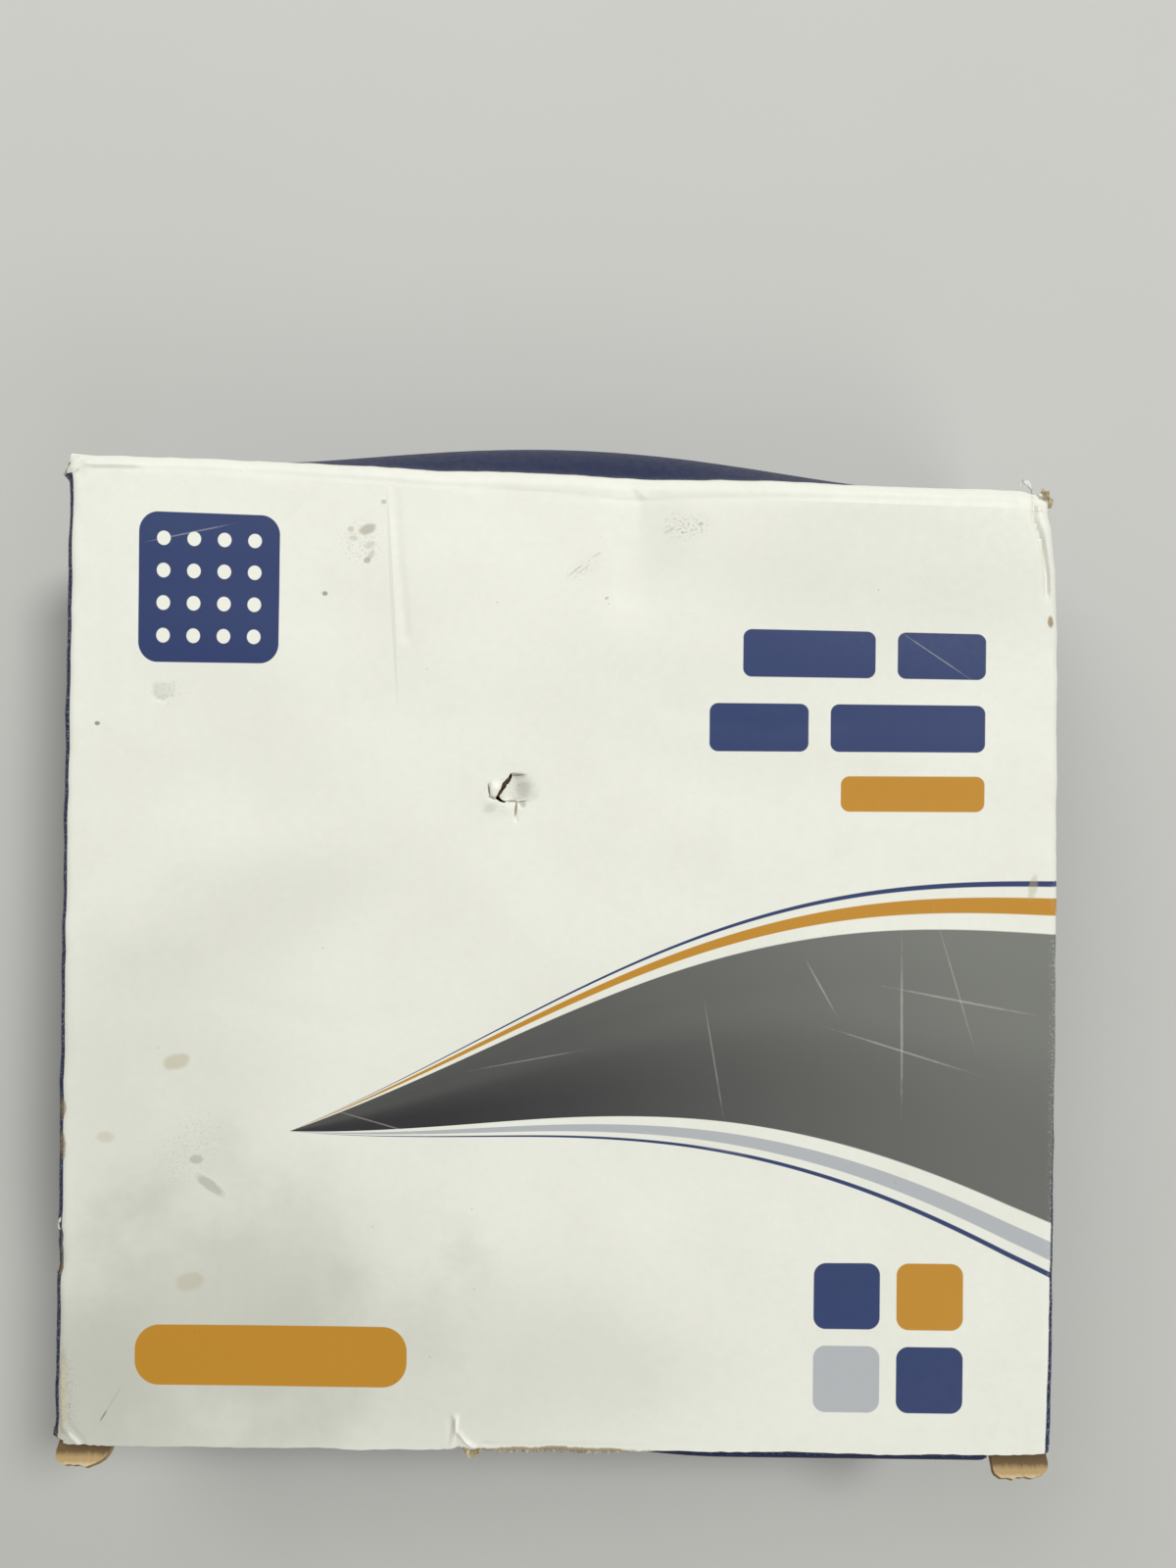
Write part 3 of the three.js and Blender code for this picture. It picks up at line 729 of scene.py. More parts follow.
def age_marks(tree, place, fine, grain):
    """Stains, rubs and scratches where the face has been knocked and handled, with a few painted highlights and painted
    shade among them, coat by coat.
    """
    for mark in SCATTERED:
        area = patch(tree, place, fine, *mark, softness=1.4)
        dots = add_node(tree, "MapRange", {0: grain, 1: 0.53, 2: 0.62})
        yield add_node(tree, "Math", {0: area, 1: dots}, operation="MULTIPLY"), linear("#6E6C5C")
    for *mark, kind in FACE_MARKS:
        yield patch(tree, place, fine, *mark), linear(MARK_COLOURS[kind])
    for start, end, width, strength in SCRATCHES:
        middle = ((start[0] + end[0]) / 2, (start[1] + end[1]) / 2)
        turn = math.degrees(math.atan2(end[1] - start[1], end[0] - start[0]))
        line = patch(tree, place, fine, middle, (math.dist(start, end) / 2, width), turn, strength, 0.7, 1.2)
        yield line, linear("#D5D5CB")


def fold_lines(sizes, piece):
    """The folds of a piece as (axis, middle, reach, cracking) on its flat board, in millimetres."""
    if piece == "sleeve":
        marks = sleeve_marks(sizes)
        return [(0, marks[f"{name} fold"] / MM, 0.8, 0.45) for name in ("left", "right", "back left", "back right")]
    if piece == "closure":
        return [(1, 88.6, 1.4, 0.6), (1, 133.4, 1.4, 0.12)]
    return [(1, 1.6, 0.9, 0.4)]


def paper_coats(tree, piece, place, x, y, clouds, mottle, grain):
    """All that lies on the white paper, as coats of (share, colour) from the lowest to the topmost."""
    sizes, colours = bpy.context.scene.carton_sizes, bpy.context.scene.carton_colours
    for cause, low, high, strength, colour in (
        (clouds, 0.42, 0.72, 0.09, "#A6A794"), (mottle, 0.35, 0.7, 0.05, "#8F907F"),
    ):
        yield add_node(tree, "MapRange", {0: cause, 1: low, 2: high, 4: strength}), linear(colour)
    if piece == "sleeve":
        # Wide grey clouds, most of them painted shade over the lower left, the bottom and the top right.
        for cloud in SHADE_AND_HANDLING_CLOUDS:
            yield patch(tree, place, clouds, *cloud, softness=1.2), linear("#8F9083")
        yield from printed_design(tree, place, x, y, colours)
    yield from navy_walls(tree, piece, x, y, colours, sizes)
    # Specks of dirt about 0.3 mm across lie some 7 mm apart.
    specks = add_node(tree, "TexVoronoi", {"Vector": place, "Scale": 1 / 7})
    yield add_node(tree, "MapRange", {0: specks, 1: 0.024, 2: 0.012, 4: 0.5}), linear("#5C5A4C")
    if piece == "sleeve":
        yield from age_marks(tree, place, mottle, grain)
    # The ink cracks white along every fold.
    cracked = add_node(tree, "MapRange", {0: grain, 1: 0.52, 2: 0.64})
    for axis, middle, reach, cracking in fold_lines(sizes, piece):
        fold = between(tree, (x, y)[axis], middle - reach, middle + reach, reach * 0.7, cracking)
        yield add_node(tree, "Math", {0: fold, 1: cracked}, operation="MULTIPLY"), linear("#EDECE4")


def coated_paper(name, piece):
    """Clay-coated paper, offset printed and glued to the board.

    It is smooth and faintly glossy. Handling has greyed it in clouds, and on the face wider grey clouds are painted
    shade;
    ink is rubbed off at the folds, and the flutes under it show as very faint bands.
    """
    sizes, colours = bpy.context.scene.carton_sizes, bpy.context.scene.carton_colours
    material, tree, shader = start_material(name)
    place, x, y, _ = flat_millimetres(tree)
    # Three grains of unevenness: clouds 25 mm across, a mottle of 2 mm and a paper grain of 0.5 mm.
    clouds, mottle, grain = (
        add_node(tree, "TexNoise", {"Vector": place, "Scale": 1 / size, "Detail": 5.0, "Roughness": rough})
        for size, rough in ((25, 0.6), (2.0, 0.7), (0.5, 0.72))
    )
    ink = under_coats(tree, tuple(colours.paper), paper_coats(tree, piece, place, x, y, clouds, mottle, grain))
    # The coating is a little glossier where it isn't rubbed. The flutes are 3.2 mm apart.
    gloss = add_node(tree, "MapRange", {0: mottle, 1: 0.3, 2: 0.75, 3: 0.42, 4: 0.58})
    shader.inputs["IOR"].default_value = 1.36
    swell = add_node(tree, "Math", {0: x, 1: 2 * math.pi / (sizes.flute / MM)}, operation="MULTIPLY")
    flutes = add_node(tree, "Math", {0: swell}, operation="SINE")
    relief = add_node(tree, "Math", {0: flutes, 1: 0.1, 2: grain}, operation="MULTIPLY_ADD")
    relief = add_node(tree, "Math", {0: clouds, 1: 2.0, 2: relief}, operation="MULTIPLY_ADD")
    dress(tree, shader, ink, gloss, relief, 0.35, 0.06)
    return material


def kraft_liner(name, with_ears):
    """Unbleached kraft liner: matt brown paper, its long fibres lying mostly along the board.

    The lock ears have been bent and rubbed, and their tips are worn to pale fibres. A dark brown band from their roots
    is painted shade, where the face's edge overhangs them.
    """
    sizes, colours = bpy.context.scene.carton_sizes, bpy.context.scene.carton_colours
    material, tree, shader = start_material(name)
    place, _, y, _ = flat_millimetres(tree)
    stretched = add_node(tree, "Mapping", {0: place, 3: (1.0, 0.22, 1.0)})
    fibres = add_node(tree, "TexNoise", {"Vector": stretched, "Scale": 1 / 0.6, "Detail": 6.0, "Roughness": 0.7})
    cloud = add_node(tree, "TexNoise", {"Vector": place, "Scale": 1 / 14, "Detail": 3.0})
    tone = add_node(tree, "MapRange", {0: fibres, 1: 0.3, 2: 0.7, 4: 0.5})
    patches = add_node(tree, "MapRange", {0: cloud, 1: 0.35, 2: 0.7, 4: 0.35})
    coats = [(tone, linear("#8B6F46")), (patches, linear("#B9A077"))]
    if with_ears:
        root = ear_root(sizes) / MM
        tip = root + EAR_LENGTHS["bottom"] / MM
        edge = add_node(tree, "Math", {0: fibres, 1: 1.6, 2: y}, operation="MULTIPLY_ADD")
        # The first coat is painted shade: dark brown at the ears' roots, under the face's edge. Then come lighter kraft
        # and the pale worn tips.
        for low, high, soft, strength, colour in (
            (root, root + 6.4, 0.5, 0.75, "#4E3C26"), (root + 6.6, tip + 9.0, 0.5, 0.5, "#C8AC7A"),
            (tip + 0.4, tip + 9.0, 0.3, 0.8, "#DCC8A2"),
        ):
            coats.append((between(tree, edge, low, high, soft, strength), linear(colour)))
    brown = under_coats(tree, tuple(colours.kraft), coats)
    shader.inputs["IOR"].default_value = 1.45
    dress(tree, shader, brown, 0.86, fibres, 0.5, 0.08)
    return material


def cut_board(name):
    """The cut edge of corrugated board: rough brown pulp, paler at the coated side, with pressed fibres."""
    colours = bpy.context.scene.carton_colours
    material, tree, shader = start_material(name)
    place, _, _, z = flat_millimetres(tree)
    rough = add_node(tree, "TexNoise", {"Vector": place, "Scale": 1 / 0.5, "Detail": 6.0, "Roughness": 0.75})
    tone = add_node(tree, "MapRange", {0: rough, 1: 0.3, 2: 0.7, 4: 0.7})
    # The coated sheet is about 0.15 mm thick, so a pale line runs along the printed side.
    pale = add_node(tree, "MapRange", {0: z, 1: -0.24, 2: -0.12, 4: 0.85})
    brown = under_coats(tree, tuple(colours.medium), [(tone, linear("#BFA87E")), (pale, linear("#DEDBCB"))])
    dress(tree, shader, brown, 0.92, rough, 0.7, 0.15)
    return material


def torn_fibres(name, dark, pale):
    """Torn paper: a soft felt of loose fibres, streaked dark and pale every half millimetre."""
    material, tree, shader = start_material(name)
    place = add_node(tree, "TexCoord", output=3)
    streak = add_node(tree, "Mapping", {0: place, 3: (2200.0, 900.0, 2200.0)})
    fibres = add_node(tree, "TexNoise", {"Vector": streak, "Scale": 1.0, "Detail": 5.0, "Roughness": 0.7})
    tone = add_node(tree, "MapRange", {0: fibres, 1: 0.38, 2: 0.62})
    dress(tree, shader, under_coats(tree, linear(dark), [(tone, linear(pale))]), 0.95, fibres, 0.8, 0.12)
    return material


MAKERS = {
    "coated_paper_sleeve": lambda name: coated_paper(name, "sleeve"),
    "coated_paper_closure": lambda name: coated_paper(name, "closure"),
    "coated_paper_dust_flap": lambda name: coated_paper(name, "dust_flap"),
    "kraft_liner": lambda name: kraft_liner(name, False),
    "kraft_liner_with_ears": lambda name: kraft_liner(name, True),
    "cut_corrugated_board": cut_board,
    "torn_white_paper": lambda name: torn_fibres(name, "#B9BCC0", "#EEEDE6"),
    "torn_kraft_paper": lambda name: torn_fibres(name, "#7D6A4A", "#D2C29C"),
    # Kraft fibres darkened as painted shade, for the scrap that lies deep in the slit.
    "torn_brown_paper": lambda name: torn_fibres(name, "#2E261B", "#6B5C43"),
    "torn_grey_paper": lambda name: torn_fibres(name, "#7E7862", "#C9C3AF"),
}


def surface(name):
    """The material of this name, made when it is first asked for."""
    return bpy.data.materials.get(name) or MAKERS[name](name)


def board_surfaces(printed, inside="kraft_liner"):
    """The outside, inside and cut-edge materials of a piece of board."""
    return [surface(name) for name in (printed, inside, "cut_corrugated_board")]


SEAM = 85.2 * MM  # a closure's or dust flap's own sheet starts here, on the panel that it hangs from
WALL_END = 87.2 * MM  # where the side walls end and the dust flaps' folds begin
GLUE_FLAP, GLUE_TAPER = 20 * MM, 6 * MM  # the glued flap inside the right wall, and how much its ends slope
LEFT_STRIP_END = -88.4 * MM  # how far towards the bottom the left fold's outer half runs
FLAP_LOW = 7.9 * MM  # the dust flaps' edge on the side of the tuck flap
CORNER = 1.8 * MM  # outside of the fold between wall and dust flap
CLOSURE_FOLD, TUCK_FOLD = 2.7 * MM, 1.8 * MM  # outside of the folds on both sides of a closure's panel
EAR_DROP = 4.2 * MM  # how far below the tuck fold's end the slit beside an ear starts
EAR_LENGTHS = {"top": 4.2 * MM, "bottom": 7.4 * MM}
SHARED_HALF = 78 * MM  # out to here, face and top closure have the same grid lines

# Where the face's squares are cut finer, in millimetres: left, right, low, high and number of cuts.
FINE_AREAS = (
    (-14.2, -3.0, 24.4, 36.0, 6), (-21, -11, -90, -81, 3), (-91, -82, -90, -74, 1), (-32.5, -26, 56, 86, 2),
    (84, 90, 66, 86, 1), (-89, -76, 84, 86, 1), (8, 20, 76, 86, 1), (-76, -69, 44.5, 51, 3),
)
# Torn scraps, in millimetres: trail of (x, y, z, half width), material and seed.
SCRAPS = (
    (((84.2, 89.5, 45.2, 0.3), (84.9, 90.2, 45.6, 0.4), (85.8, 90.1, 45.6, 0.42), (86.8, 89.5, 45.2, 0.4),
      (88.0, 89.0, 44.6, 0.3)), "torn_white_paper", 31),
    (((89.4, 89.4, 45.8, 0.35), (90.7, 88.9, 45.8, 0.5), (91.2, 87.8, 45.5, 0.45), (91.1, 86.4, 45.2, 0.25)),
     "torn_kraft_paper", 34),
    (((-89.2, 88.3, 44.6, 0.3), (-90.7, 87.0, 44.4, 0.45), (-91.2, 85.6, 44.0, 0.5), (-90.6, 84.2, 43.6, 0.25)),
     "torn_grey_paper", 37),
    (((-89.6, -47.8, 45.4, 0.15), (-90.3, -49.2, 45.2, 0.4), (-90.2, -50.4, 45.2, 0.35), (-89.6, -51.2, 45.3, 0.15)),
     "torn_white_paper", 40),
    (((-89.6, -55.6, 44.9, 0.2), (-90.6, -57.5, 44.7, 0.45), (-90.6, -58.6, 44.7, 0.4), (-90.0, -59.8, 44.9, 0.15)),
     "torn_grey_paper", 43),
    (((-13.2, -89.7, 44.7, 0.35), (-7, -90.0, 44.6, 0.5), (0, -89.9, 44.6, 0.45), (7, -90.0, 44.6, 0.5),
      (13.5, -89.7, 44.7, 0.4), (17, -89.1, 44.8, 0.15)), "torn_grey_paper", 46),
    # In the slit: kraft fibres in painted shade.
    (((-8.4, 33.0, 44.5, 0.35), (-9.3, 31.7, 44.4, 0.5), (-10.5, 29.8, 44.4, 0.4), (-9.2, 28.6, 44.5, 0.3)),
     "torn_brown_paper", 55),
    (((-16.0, -88.6, 45.2, 0.2), (-15.0, -89.8, 45.2, 0.4), (-13.9, -90.5, 45.0, 0.5), (-12.8, -90.0, 45.0, 0.35),
      (-12.2, -89.2, 45.1, 0.15)), "torn_kraft_paper", 49),
    (((-86.4, -89.4, 44.7, 0.25), (-88.6, -89.5, 44.6, 0.35), (-90.4, -89.0, 44.4, 0.45), (-90.9, -87.4, 44.4, 0.3)),
     "torn_kraft_paper", 52),
)


def sleeve_path(sizes):
    """The sleeve's stretches round its section, from the edge of the glue flap to the right wall's cut edge."""
    half, depth, board = sizes.width / 2, sizes.depth, sizes.board
    back, left, right = sizes.back_fold, sizes.left_fold, sizes.right_fold
    inner = half - board - 0.05 * MM
    stretches = [
        ("glue flap", (GLUE_FLAP + board - back, 0)), ("back right fold", arc(back)),
        ("back", (inner - back + half - back, 0)), ("back left fold", arc(back)),
        ("left wall", (depth - back - left, 0)), ("left fold", arc(left)),
        ("face", (2 * half - left - right, 0)), ("right fold", arc(right)),
        ("right wall", (depth - right - 0.7 * MM, 0)),
    ]
    return stretches, (inner, GLUE_FLAP + board), -QUARTER


def sleeve_marks(sizes):
    """Where each stretch ends or each fold has its middle, along the flat sleeve, with 0 in mid-face."""
    stretches, _, _ = sleeve_path(sizes)
    starts, total = {}, 0.0
    for name, (length, _) in stretches:
        starts[name] = (total, total + length)
        total += length
    middle = starts["face"][0] + sizes.width / 2 - sizes.left_fold
    marks = {name: (low + high) / 2 - middle for name, (low, high) in starts.items() if "fold" in name}
    marks.update({name: (starts[name][0 if "left" in name else 1]) - middle for name in ("left wall", "right wall")})
    marks["start"] = -middle
    marks["spans"] = {name: (low - middle, high - middle) for name, (low, high) in starts.items()}
    return marks


class CARTON_OT_sleeve(bpy.types.Operator):
    """Cuts, thickens and folds the four panels into a ring, with the glued seam inside the right wall"""

    bl_idname = "carton.sleeve"
    bl_label = "Sleeve"

    def execute(self, context):
        sizes = context.scene.carton_sizes
        surfaces = board_surfaces("coated_paper_sleeve")
        stretches, start, heading = sleeve_path(sizes)
        marks = sleeve_marks(sizes)
        spans = marks["spans"]
        depth, half_length = sizes.depth, sizes.length / 2

        def on_right(z):
            return spans["right wall"][0] + depth - sizes.right_fold - z

        def on_left(z):
            return spans["left wall"][0] + z - sizes.back_fold

        fold_step = 0.5 * MM
        across = lines(
            spans["glue flap"][0], (spans["glue flap"][1], 3 * MM), (spans["back right fold"][1], fold_step),
            (spans["back"][1], 4 * MM), (spans["back left fold"][1], fold_step),
            (on_left(FLAP_LOW), 2.2 * MM), (on_left(depth - FLAP_LOW), 2.4 * MM), (spans["left wall"][1], 1.6 * MM),
            (spans["left fold"][1], 0.4 * MM), (-SHARED_HALF, 0.8 * MM), (SHARED_HALF, 1.5 * MM),
            (spans["face"][1], 0.8 * MM), (spans["right fold"][1], 0.4 * MM),
            (on_right(depth - FLAP_LOW), 1.6 * MM), (on_right(FLAP_LOW), 2.4 * MM), (spans["right wall"][1], 2 * MM),
        )
        glue_end = half_length - 13.8 * MM
        along = lines(
            -half_length, (-WALL_END, 0.6 * MM), (-SEAM, 0.7 * MM), (-glue_end, 1.4 * MM), (glue_end, 1.5 * MM),
            (83.4 * MM, 1.5 * MM), (SEAM, 0.6 * MM), (WALL_END, 0.7 * MM), (half_length, 0.6 * MM),
        )
        sleeve = flat_sheet("sleeve_board", across, along)
        s, v, _ = faces_of(sleeve, "center").T

        def within(name):
            return (s > spans[name][0]) & (s < spans[name][1])

        waste = (v > WALL_END) & ~within("back")
        # The closures' own sheets cover the panel's side of the folds next to them.
        for name, sign, beyond in (
            ("left fold", 1, v > SEAM + 0.7 * MM), ("right fold", -1, v > SEAM + 0.7 * MM),
            ("back right fold", 1, v < -SEAM - 0.7 * MM), ("back left fold", -1, v < -SEAM - 0.7 * MM),
        ):
            waste |= beyond & within(name) & (sign * (s - marks[name]) > 0)
        corners = within("right fold") | (within("left fold") & (v > LEFT_STRIP_END))
        waste |= (v < -WALL_END) & ~within("face") & ~corners
        # Closures and dust flaps have their own sheets, which start at the seam.
        waste |= (v > SEAM) & within("face")
        waste |= (v < -SEAM) & within("back")
        waste |= (v > SEAM) & (s < on_right(FLAP_LOW)) & within("right wall")
        waste |= (v > SEAM) & (s > on_left(FLAP_LOW)) & within("left wall")
        waste |= (v < -SEAM) & (s > on_right(depth - FLAP_LOW)) & within("right wall")
        waste |= (v < -SEAM) & (s < on_left(depth - FLAP_LOW)) & within("left wall")
        waste |= within("glue flap") & (np.abs(v) > glue_end)
        cut_away(sleeve, waste)
        refine(sleeve, FINE_AREAS)
        cut_slit(sleeve, SLIT)
        thicken(sleeve, sizes.board, surfaces)
        open_cut_edge(sleeve, -half_length, -1, spans["face"][0], spans["face"][1], sizes, surfaces)
        open_cut_edge(sleeve, half_length, 1, spans["back"][0], spans["back"][1], sizes, surfaces)

        def folded(flat_across, flat_along):
            x, z, nx, nz = follow([s[1] for s in stretches], start, heading, flat_across - marks["start"], 1)
            taper = np.clip((spans["glue flap"][1] - flat_across) / GLUE_FLAP, 0, 1) * GLUE_TAPER
            shorter = np.where(flat_across < spans["glue flap"][1], 1 - taper / glue_end, 1.0)
            zero = np.zeros(len(x))
            return np.stack([x, flat_along * shorter, z], 1), np.stack([nx, zero, nz], 1)

        fold_up(sleeve, folded)
        join(sleeve, *(loose_paper(trail, surface(name), seed) for trail, name, seed in SCRAPS))
        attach(sleeve, "sleeve")
        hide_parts("sleeve")
        return {"FINISHED"}


def closure_path(sizes):
    """A closure's stretches: from its seam over the first fold, down the panel, and over the tuck fold."""
    panel = sizes.depth - CLOSURE_FOLD - 2 * TUCK_FOLD
    return [
        (sizes.length / 2 - CLOSURE_FOLD - SEAM, 0), arc(CLOSURE_FOLD), (panel, 0),
        arc(TUCK_FOLD, -QUARTER - math.radians(12)), (16.2 * MM, 0),
    ]


def ear_root(sizes):
    """Where a closure's lock ears start, along its flat board."""
    return SEAM + sum(length for length, _ in closure_path(sizes)[:3]) + TUCK_FOLD - EAR_DROP


class CARTON_OT_closures(bpy.types.Operator):
    """Cuts and folds the two closures, each with its tuck flap and lock ears"""

    bl_idname = "carton.closures"
    bl_label = "Closures"

    def execute(self, context):
        sizes = context.scene.carton_sizes
        # Corner radii of the ears' tips, in millimetres: left ear's left and right, then the right ear's.
        self.closure(sizes, "top", 1, 0.0, sizes.top_bulge, 0.0, (2.0, 2.0, 2.0, 2.0))
        self.closure(sizes, "bottom", -1, 0.1 * MM, sizes.bottom_bulge, math.radians(50), (2.2, 3.6, 1.1, 2.8))
        return {"FINISHED"}

    def closure(self, sizes, name, end, sideways, bulge, lean, tip_radii):
        """One closure. end is 1 at the top and -1 at the bottom; the ears lean out of the panel."""
        surfaces = board_surfaces("coated_paper_closure", "kraft_liner" if end > 0 else "kraft_liner_with_ears")
        depth = sizes.depth
        half, ear_width, slit, tuck_corner = sizes.width / 2 - 0.4 * MM, 9.8 * MM, 0.6 * MM, 9 * MM
        tuck_half = half - ear_width - slit
        path = closure_path(sizes)
        ends = np.cumsum([length for length, _ in path])
        fold_end, panel_end, tuck_start, tip = ends[1], ends[2], ends[3], ends[4]
        root = ear_root(sizes) - SEAM
        ear_length = EAR_LENGTHS[name]
        ear_end = root + ear_length

        across = lines(
            -half, (-tuck_half - slit, 0.7 * MM), (-tuck_half, slit), (-SHARED_HALF, MM), (SHARED_HALF, 1.5 * MM),
            (tuck_half, MM), (tuck_half + slit, slit), (half, 0.7 * MM),
        )
        along = lines(
            0, (ends[0], 0.4 * MM), (fold_end, 0.42 * MM), (fold_end + 5 * MM, 0.7 * MM), (root, 1.5 * MM),
            (panel_end, 0.7 * MM), (tuck_start, 0.42 * MM), (max(ear_end, tuck_start + 2 * MM), 0.7 * MM),
            (tip - tuck_corner, 1.5 * MM), (tip, 0.8 * MM),
        )
        # A row ends exactly where the ears do.
        along[int(np.argmin(np.abs(along - ear_end)))] = ear_end
        board = flat_sheet(f"{name}_closure_board", across, along)
        u, d, _ = np.abs(faces_of(board, "center")).T
        in_ear = u > tuck_half + slit
        cut_away(board, (in_ear & (d > ear_end)) | ((d > root) & (u > tuck_half) & ~in_ear))
        if end > 0:
            refine(board, ((-91, -76, -1, 4, 1), (76, 91, -1, 4, 1), (8, 20, -1, 3, 1)))

        # Round the tuck flap's corners, and the ears' tips each with its own radii.
        points = points_of(board)
        u, d = points[:, 0], points[:, 1]
        past = np.clip(d - (tip - tuck_corner), 0, tuck_corner)
        narrower = tuck_corner - np.sqrt(tuck_corner**2 - past**2)
        points[:, 0] = np.where(np.abs(u) <= tuck_half + 1e-6, u * (1 - narrower / tuck_half), u)
        for low, radii in ((-half, tip_radii[:2]), (tuck_half + slit, tip_radii[2:])):
            ear = (u > low - 1e-6) & (u < low + ear_width + 1e-6) & (d > root)
            share = (u[ear] - low) / ear_width
            sides = []
            for radius in radii:
                radius = radius * MM
                past = np.clip(d[ear] - (ear_end - radius), 0, radius)
                sides.append(radius - np.sqrt(radius**2 - past**2))
            points[ear, 0] = low + sides[0] + share * (ear_width - sides[0] - sides[1])
            fray = 0.25 * ramp(d[ear], ear_end - 1.5 * MM, ear_end) * ragged(u[ear] / MM, 0.7, 60)
            points[ear, 1] += (fray + 0.12 * (lean > 0) * ragged(u[ear] / MM, 2.4, 61)) * MM
        move_points(board, points)
        thicken(board, sizes.board, surfaces)
        flat_tip = tuck_half - tuck_corner
        open_cut_edge(board, tip, 1, -flat_tip, flat_tip, sizes, surfaces)

        ear_path = path[:2] + [(root - ends[1], 0), (1.3 * MM, max(lean, 1e-4)), (ear_length, 0)]
        bow_start, ease = ends[0] + 0.7 * (fold_end - ends[0]), 0.05
        pushed_out = 3.1 * MM if end < 0 else 0.0  # how far the tuck fold at the right stands out under the face

        def folded(flat_across, flat_along):
            y, z, ny, nz = follow(path, (SEAM, depth), 0.0, flat_along, 1)
            ear = (np.abs(flat_across) > tuck_half + slit - 1e-6) & (flat_along > root)
            if lean and ear.any():
                y[ear], z[ear], ny[ear], nz[ear] = follow(ear_path, (SEAM, depth), 0.0, flat_along[ear], 1)
            # The bow starts where the fold ends, and eases in over a few millimetres.
            down = np.clip((flat_along - bow_start) / (panel_end - bow_start), 0, 1)
            rise, fall, full = (np.sqrt(part**2 + ease**2) - ease for part in (down, 1 - down, 0.5))
            bow = (1 - np.clip(flat_across / half, -1, 1) ** 2) ** 2 * rise * fall / full**2
            y = y + bulge * bow
            up = np.clip((flat_along - fold_end) / (panel_end - fold_end), 0, 1) ** 1.5
            up = np.where(ear, up * (1 - ramp(flat_along, root, root + 3 * MM)), up)
            y = y + pushed_out * up * ramp(flat_across / MM, -10, 32) * (1 - ramp(flat_across / MM, 79, 84))
            # On the panel that it hangs from, the sheet follows the rounded folds at its sides.
            radius = np.where(flat_across < 0, sizes.left_fold, sizes.right_fold) if end > 0 else sizes.back_fold
            over = np.clip(np.abs(flat_across) - (sizes.width / 2 - radius), 0, radius)
            z = z - 0.9 * (radius - np.sqrt(radius**2 - over**2)) * np.where(flat_along < fold_end, nz, 0)
            x = flat_across + sideways * ramp(flat_along, ends[0], ends[0] + 8 * MM)
            outer = np.stack([x, end * y, z if end > 0 else depth - z], 1)
            normal = np.stack([np.zeros(len(x)), end * ny, end * nz], 1)
            return outer, normal

        fold_up(board, folded, SEAM)
        # The top fold is skewed and its hinge isn't: the bend keeps to the hinge at the left, to the fold at the right.
        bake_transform(board)
        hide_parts(f"{name}_closure")


class CARTON_OT_dust_flaps(bpy.types.Operator):
    """Cuts and folds the four dust flaps that hang from the side walls behind the closures"""

    bl_idname = "carton.dust_flaps"
    bl_label = "Dust flaps"

    def execute(self, context):
        sizes = context.scene.carton_sizes
        for end_name, end in (("top", 1), ("bottom", -1)):
            for side_name, side in (("right", 1), ("left", -1)):
                self.dust_flap(sizes, f"{end_name}_{side_name}_dust_flap", side, end)
        return {"FINISHED"}

    def dust_flap(self, sizes, node, side, end):
        """One dust flap. side is 1 at the right and -1 at the left, end 1 at the top and -1 at the bottom."""
        surfaces = board_surfaces("coated_paper_dust_flap")
        half, depth = sizes.width / 2, sizes.depth
        fold = sizes.right_fold if side > 0 else sizes.left_fold
        reach, corner, taper = 55 * MM, 7 * MM, 4 * MM
        tip = half - 2.55 * MM - reach  # how far from the middle the flap ends
        path = [(WALL_END - CORNER - SEAM, 0), arc(CORNER, QUARTER), (half - CORNER - tip, 0)]
        ends = np.cumsum([length for length, _ in path])
        total = ends[-1]
        near_panel = fold if end > 0 else sizes.back_fold  # the panel that the closure hangs from
        shares = lines(0.0, (1.0, 1 / 24))
        along = lines(0, (ends[0], 0.3 * MM), (ends[1], 0.42 * MM), (total - corner, 2 * MM), (total, 0.7 * MM))
        board = flat_sheet(f"{node}_board", shares, along)
        points = points_of(board)
        run = points[:, 1]
        past = np.clip(run - (total - corner), 0, corner)
        rounding = corner - np.sqrt(corner**2 - past**2)
        slope = taper * np.clip((run - ends[1]) / (total - ends[1]), 0, 1)
        inset = ramp(run, ends[0], ends[1] + 3 * MM) * 0.3 * MM
        low = FLAP_LOW + slope + rounding
        high = depth - near_panel - inset - slope - rounding
        height = low + (high - low) * points[:, 0]
        if end < 0:
            height = depth - height
        points[:, 0] = -side * end * height
        move_points(board, points)
        if faces_of(board, "normal")[:, 2].mean() < 0:
            edit_faces(board, np.ones(len(board.data.polygons), bool))
            bpy.ops.mesh.flip_normals()
            leave_edit()
        thicken(board, sizes.board, surfaces)
        heights = points[np.abs(points[:, 1] - total) < 1e-7, 0]
        open_cut_edge(board, total, 1, heights.min(), heights.max(), sizes, surfaces)

        def folded(flat_across, flat_along):
            x, y, nx, ny = follow(path, (half, SEAM), QUARTER, flat_along, -1)
            outer = np.stack([side * x, end * y, -side * end * flat_across], 1)
            return outer, np.stack([side * nx, end * ny, np.zeros(len(x))], 1)

        fold_up(board, folded)
        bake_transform(board)
        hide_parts(node)


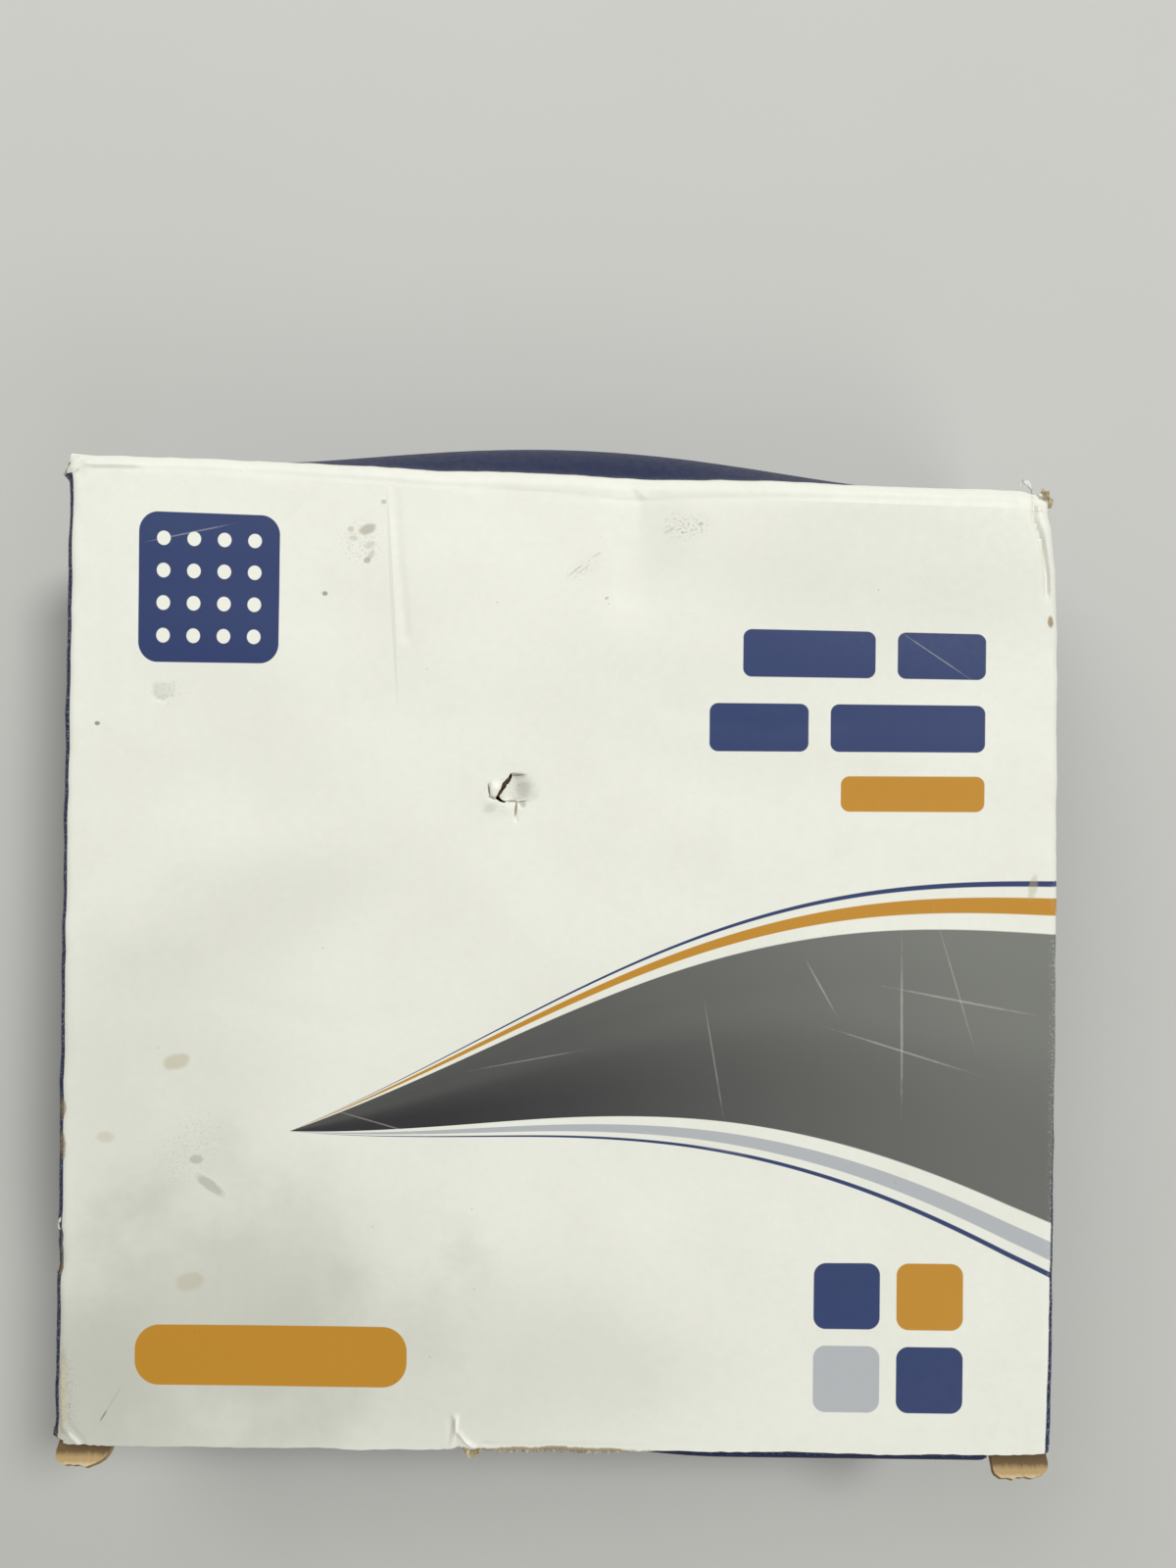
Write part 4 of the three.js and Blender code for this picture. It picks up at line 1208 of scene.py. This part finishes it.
class CARTON_OT_stage(bpy.types.Operator):
    """Lays the pale floor and sets the soft lights and the camera"""

    bl_idname = "carton.stage"
    bl_label = "Stage"

    def execute(self, context):
        scene = context.scene
        deselect_all()
        bpy.ops.mesh.primitive_plane_add(size=40, location=(0, 0, 0))
        floor = context.active_object
        floor.name = "floor"
        material, tree, shader = start_material("matt_floor_paint")
        place = add_node(tree, "TexCoord", output=3)
        mottle = add_node(tree, "TexNoise", {"Vector": place, "Scale": 14.0, "Detail": 4.0})
        share = add_node(tree, "MapRange", {0: mottle, 1: 0.3, 2: 0.7, 4: 0.06})
        grey = under_coats(tree, tuple(scene.carton_colours.floor), [(share, linear("#A8A8A4"))])
        plug(tree, shader, {"Base Color": grey, "Roughness": 0.7})
        floor.data.materials.append(material)

        # The key light stands over the top right, so the lower left is darkest.
        for name, place, energy, size in (
            ("key", (1.0, 0.9, 1.8), 28.0, 0.5),
            ("fill", (-0.25, 0.5, 0.6), 2.3, 0.5),
            ("front", (0.35, -0.5, 0.6), 1.3, 0.5),
        ):
            light = bpy.data.lights.new(name, "AREA")
            light.energy, light.shape, light.size = energy, "DISK", size
            lamp = bpy.data.objects.new(name, light)
            scene.collection.objects.link(lamp)
            lamp.location = place
            lamp.rotation_euler = (Vector((0, 0, 0.03)) - Vector(place)).to_track_quat("-Z", "Y").to_euler()
            lamp.visible_camera = False
        world = scene.world or bpy.data.worlds.new("studio")
        scene.world = world
        world.use_nodes = True
        world.node_tree.nodes["Background"].inputs[0].default_value = linear("#F3F2EA")
        world.node_tree.nodes["Background"].inputs[1].default_value = 0.2
        scene.view_settings.view_transform = "Standard"

        # The camera hangs 0.2 m above the face and looks straight down, less than a degree out of true.
        camera = bpy.data.objects.new("camera", bpy.data.cameras.new("camera"))
        scene.collection.objects.link(camera)
        camera.data.lens, camera.data.sensor_width = 26.0, 36.0
        camera.data.clip_start = 0.01
        turn = (
            Matrix.Rotation(math.radians(0.22), 3, "Z") @ Matrix.Rotation(math.radians(0.88), 3, "Y")
            @ Matrix.Rotation(math.radians(0.24), 3, "X")
        )
        camera.rotation_euler = turn.to_euler()
        camera.location = (9.37 * MM, 31.02 * MM, scene.carton_sizes.depth + 206.6 * MM)
        scene.camera = camera
        return {"FINISHED"}


class CARTON_PT_panel(bpy.types.Panel):
    """Lists the carton's pieces"""

    bl_idname = "CARTON_PT_panel"
    bl_label = "Carton"
    bl_space_type = "VIEW_3D"
    bl_region_type = "UI"
    bl_category = "Carton"

    def draw(self, context):
        for operator in OPERATORS:
            self.layout.operator(operator.bl_idname)
        for group in (context.scene.carton_sizes, context.scene.carton_colours):
            for name in group.__annotations__:
                self.layout.prop(group, name)


OPERATORS = (CARTON_OT_stage, CARTON_OT_sleeve, CARTON_OT_closures, CARTON_OT_dust_flaps)
CLASSES = (CARTON_PG_sizes, CARTON_PG_colours, *OPERATORS, CARTON_PT_panel)


def register():
    for cls in CLASSES:
        bpy.utils.register_class(cls)
    bpy.types.Scene.carton_sizes = PointerProperty(type=CARTON_PG_sizes)
    bpy.types.Scene.carton_colours = PointerProperty(type=CARTON_PG_colours)


def unregister():
    del bpy.types.Scene.carton_colours
    del bpy.types.Scene.carton_sizes
    for cls in reversed(CLASSES):
        bpy.utils.unregister_class(cls)


def main():
    register()
    bpy.ops.carton.stage()
    bpy.ops.carton.sleeve()
    bpy.ops.carton.closures()
    bpy.ops.carton.dust_flaps()
    deselect_all()


if __name__ == "__main__":
    main()
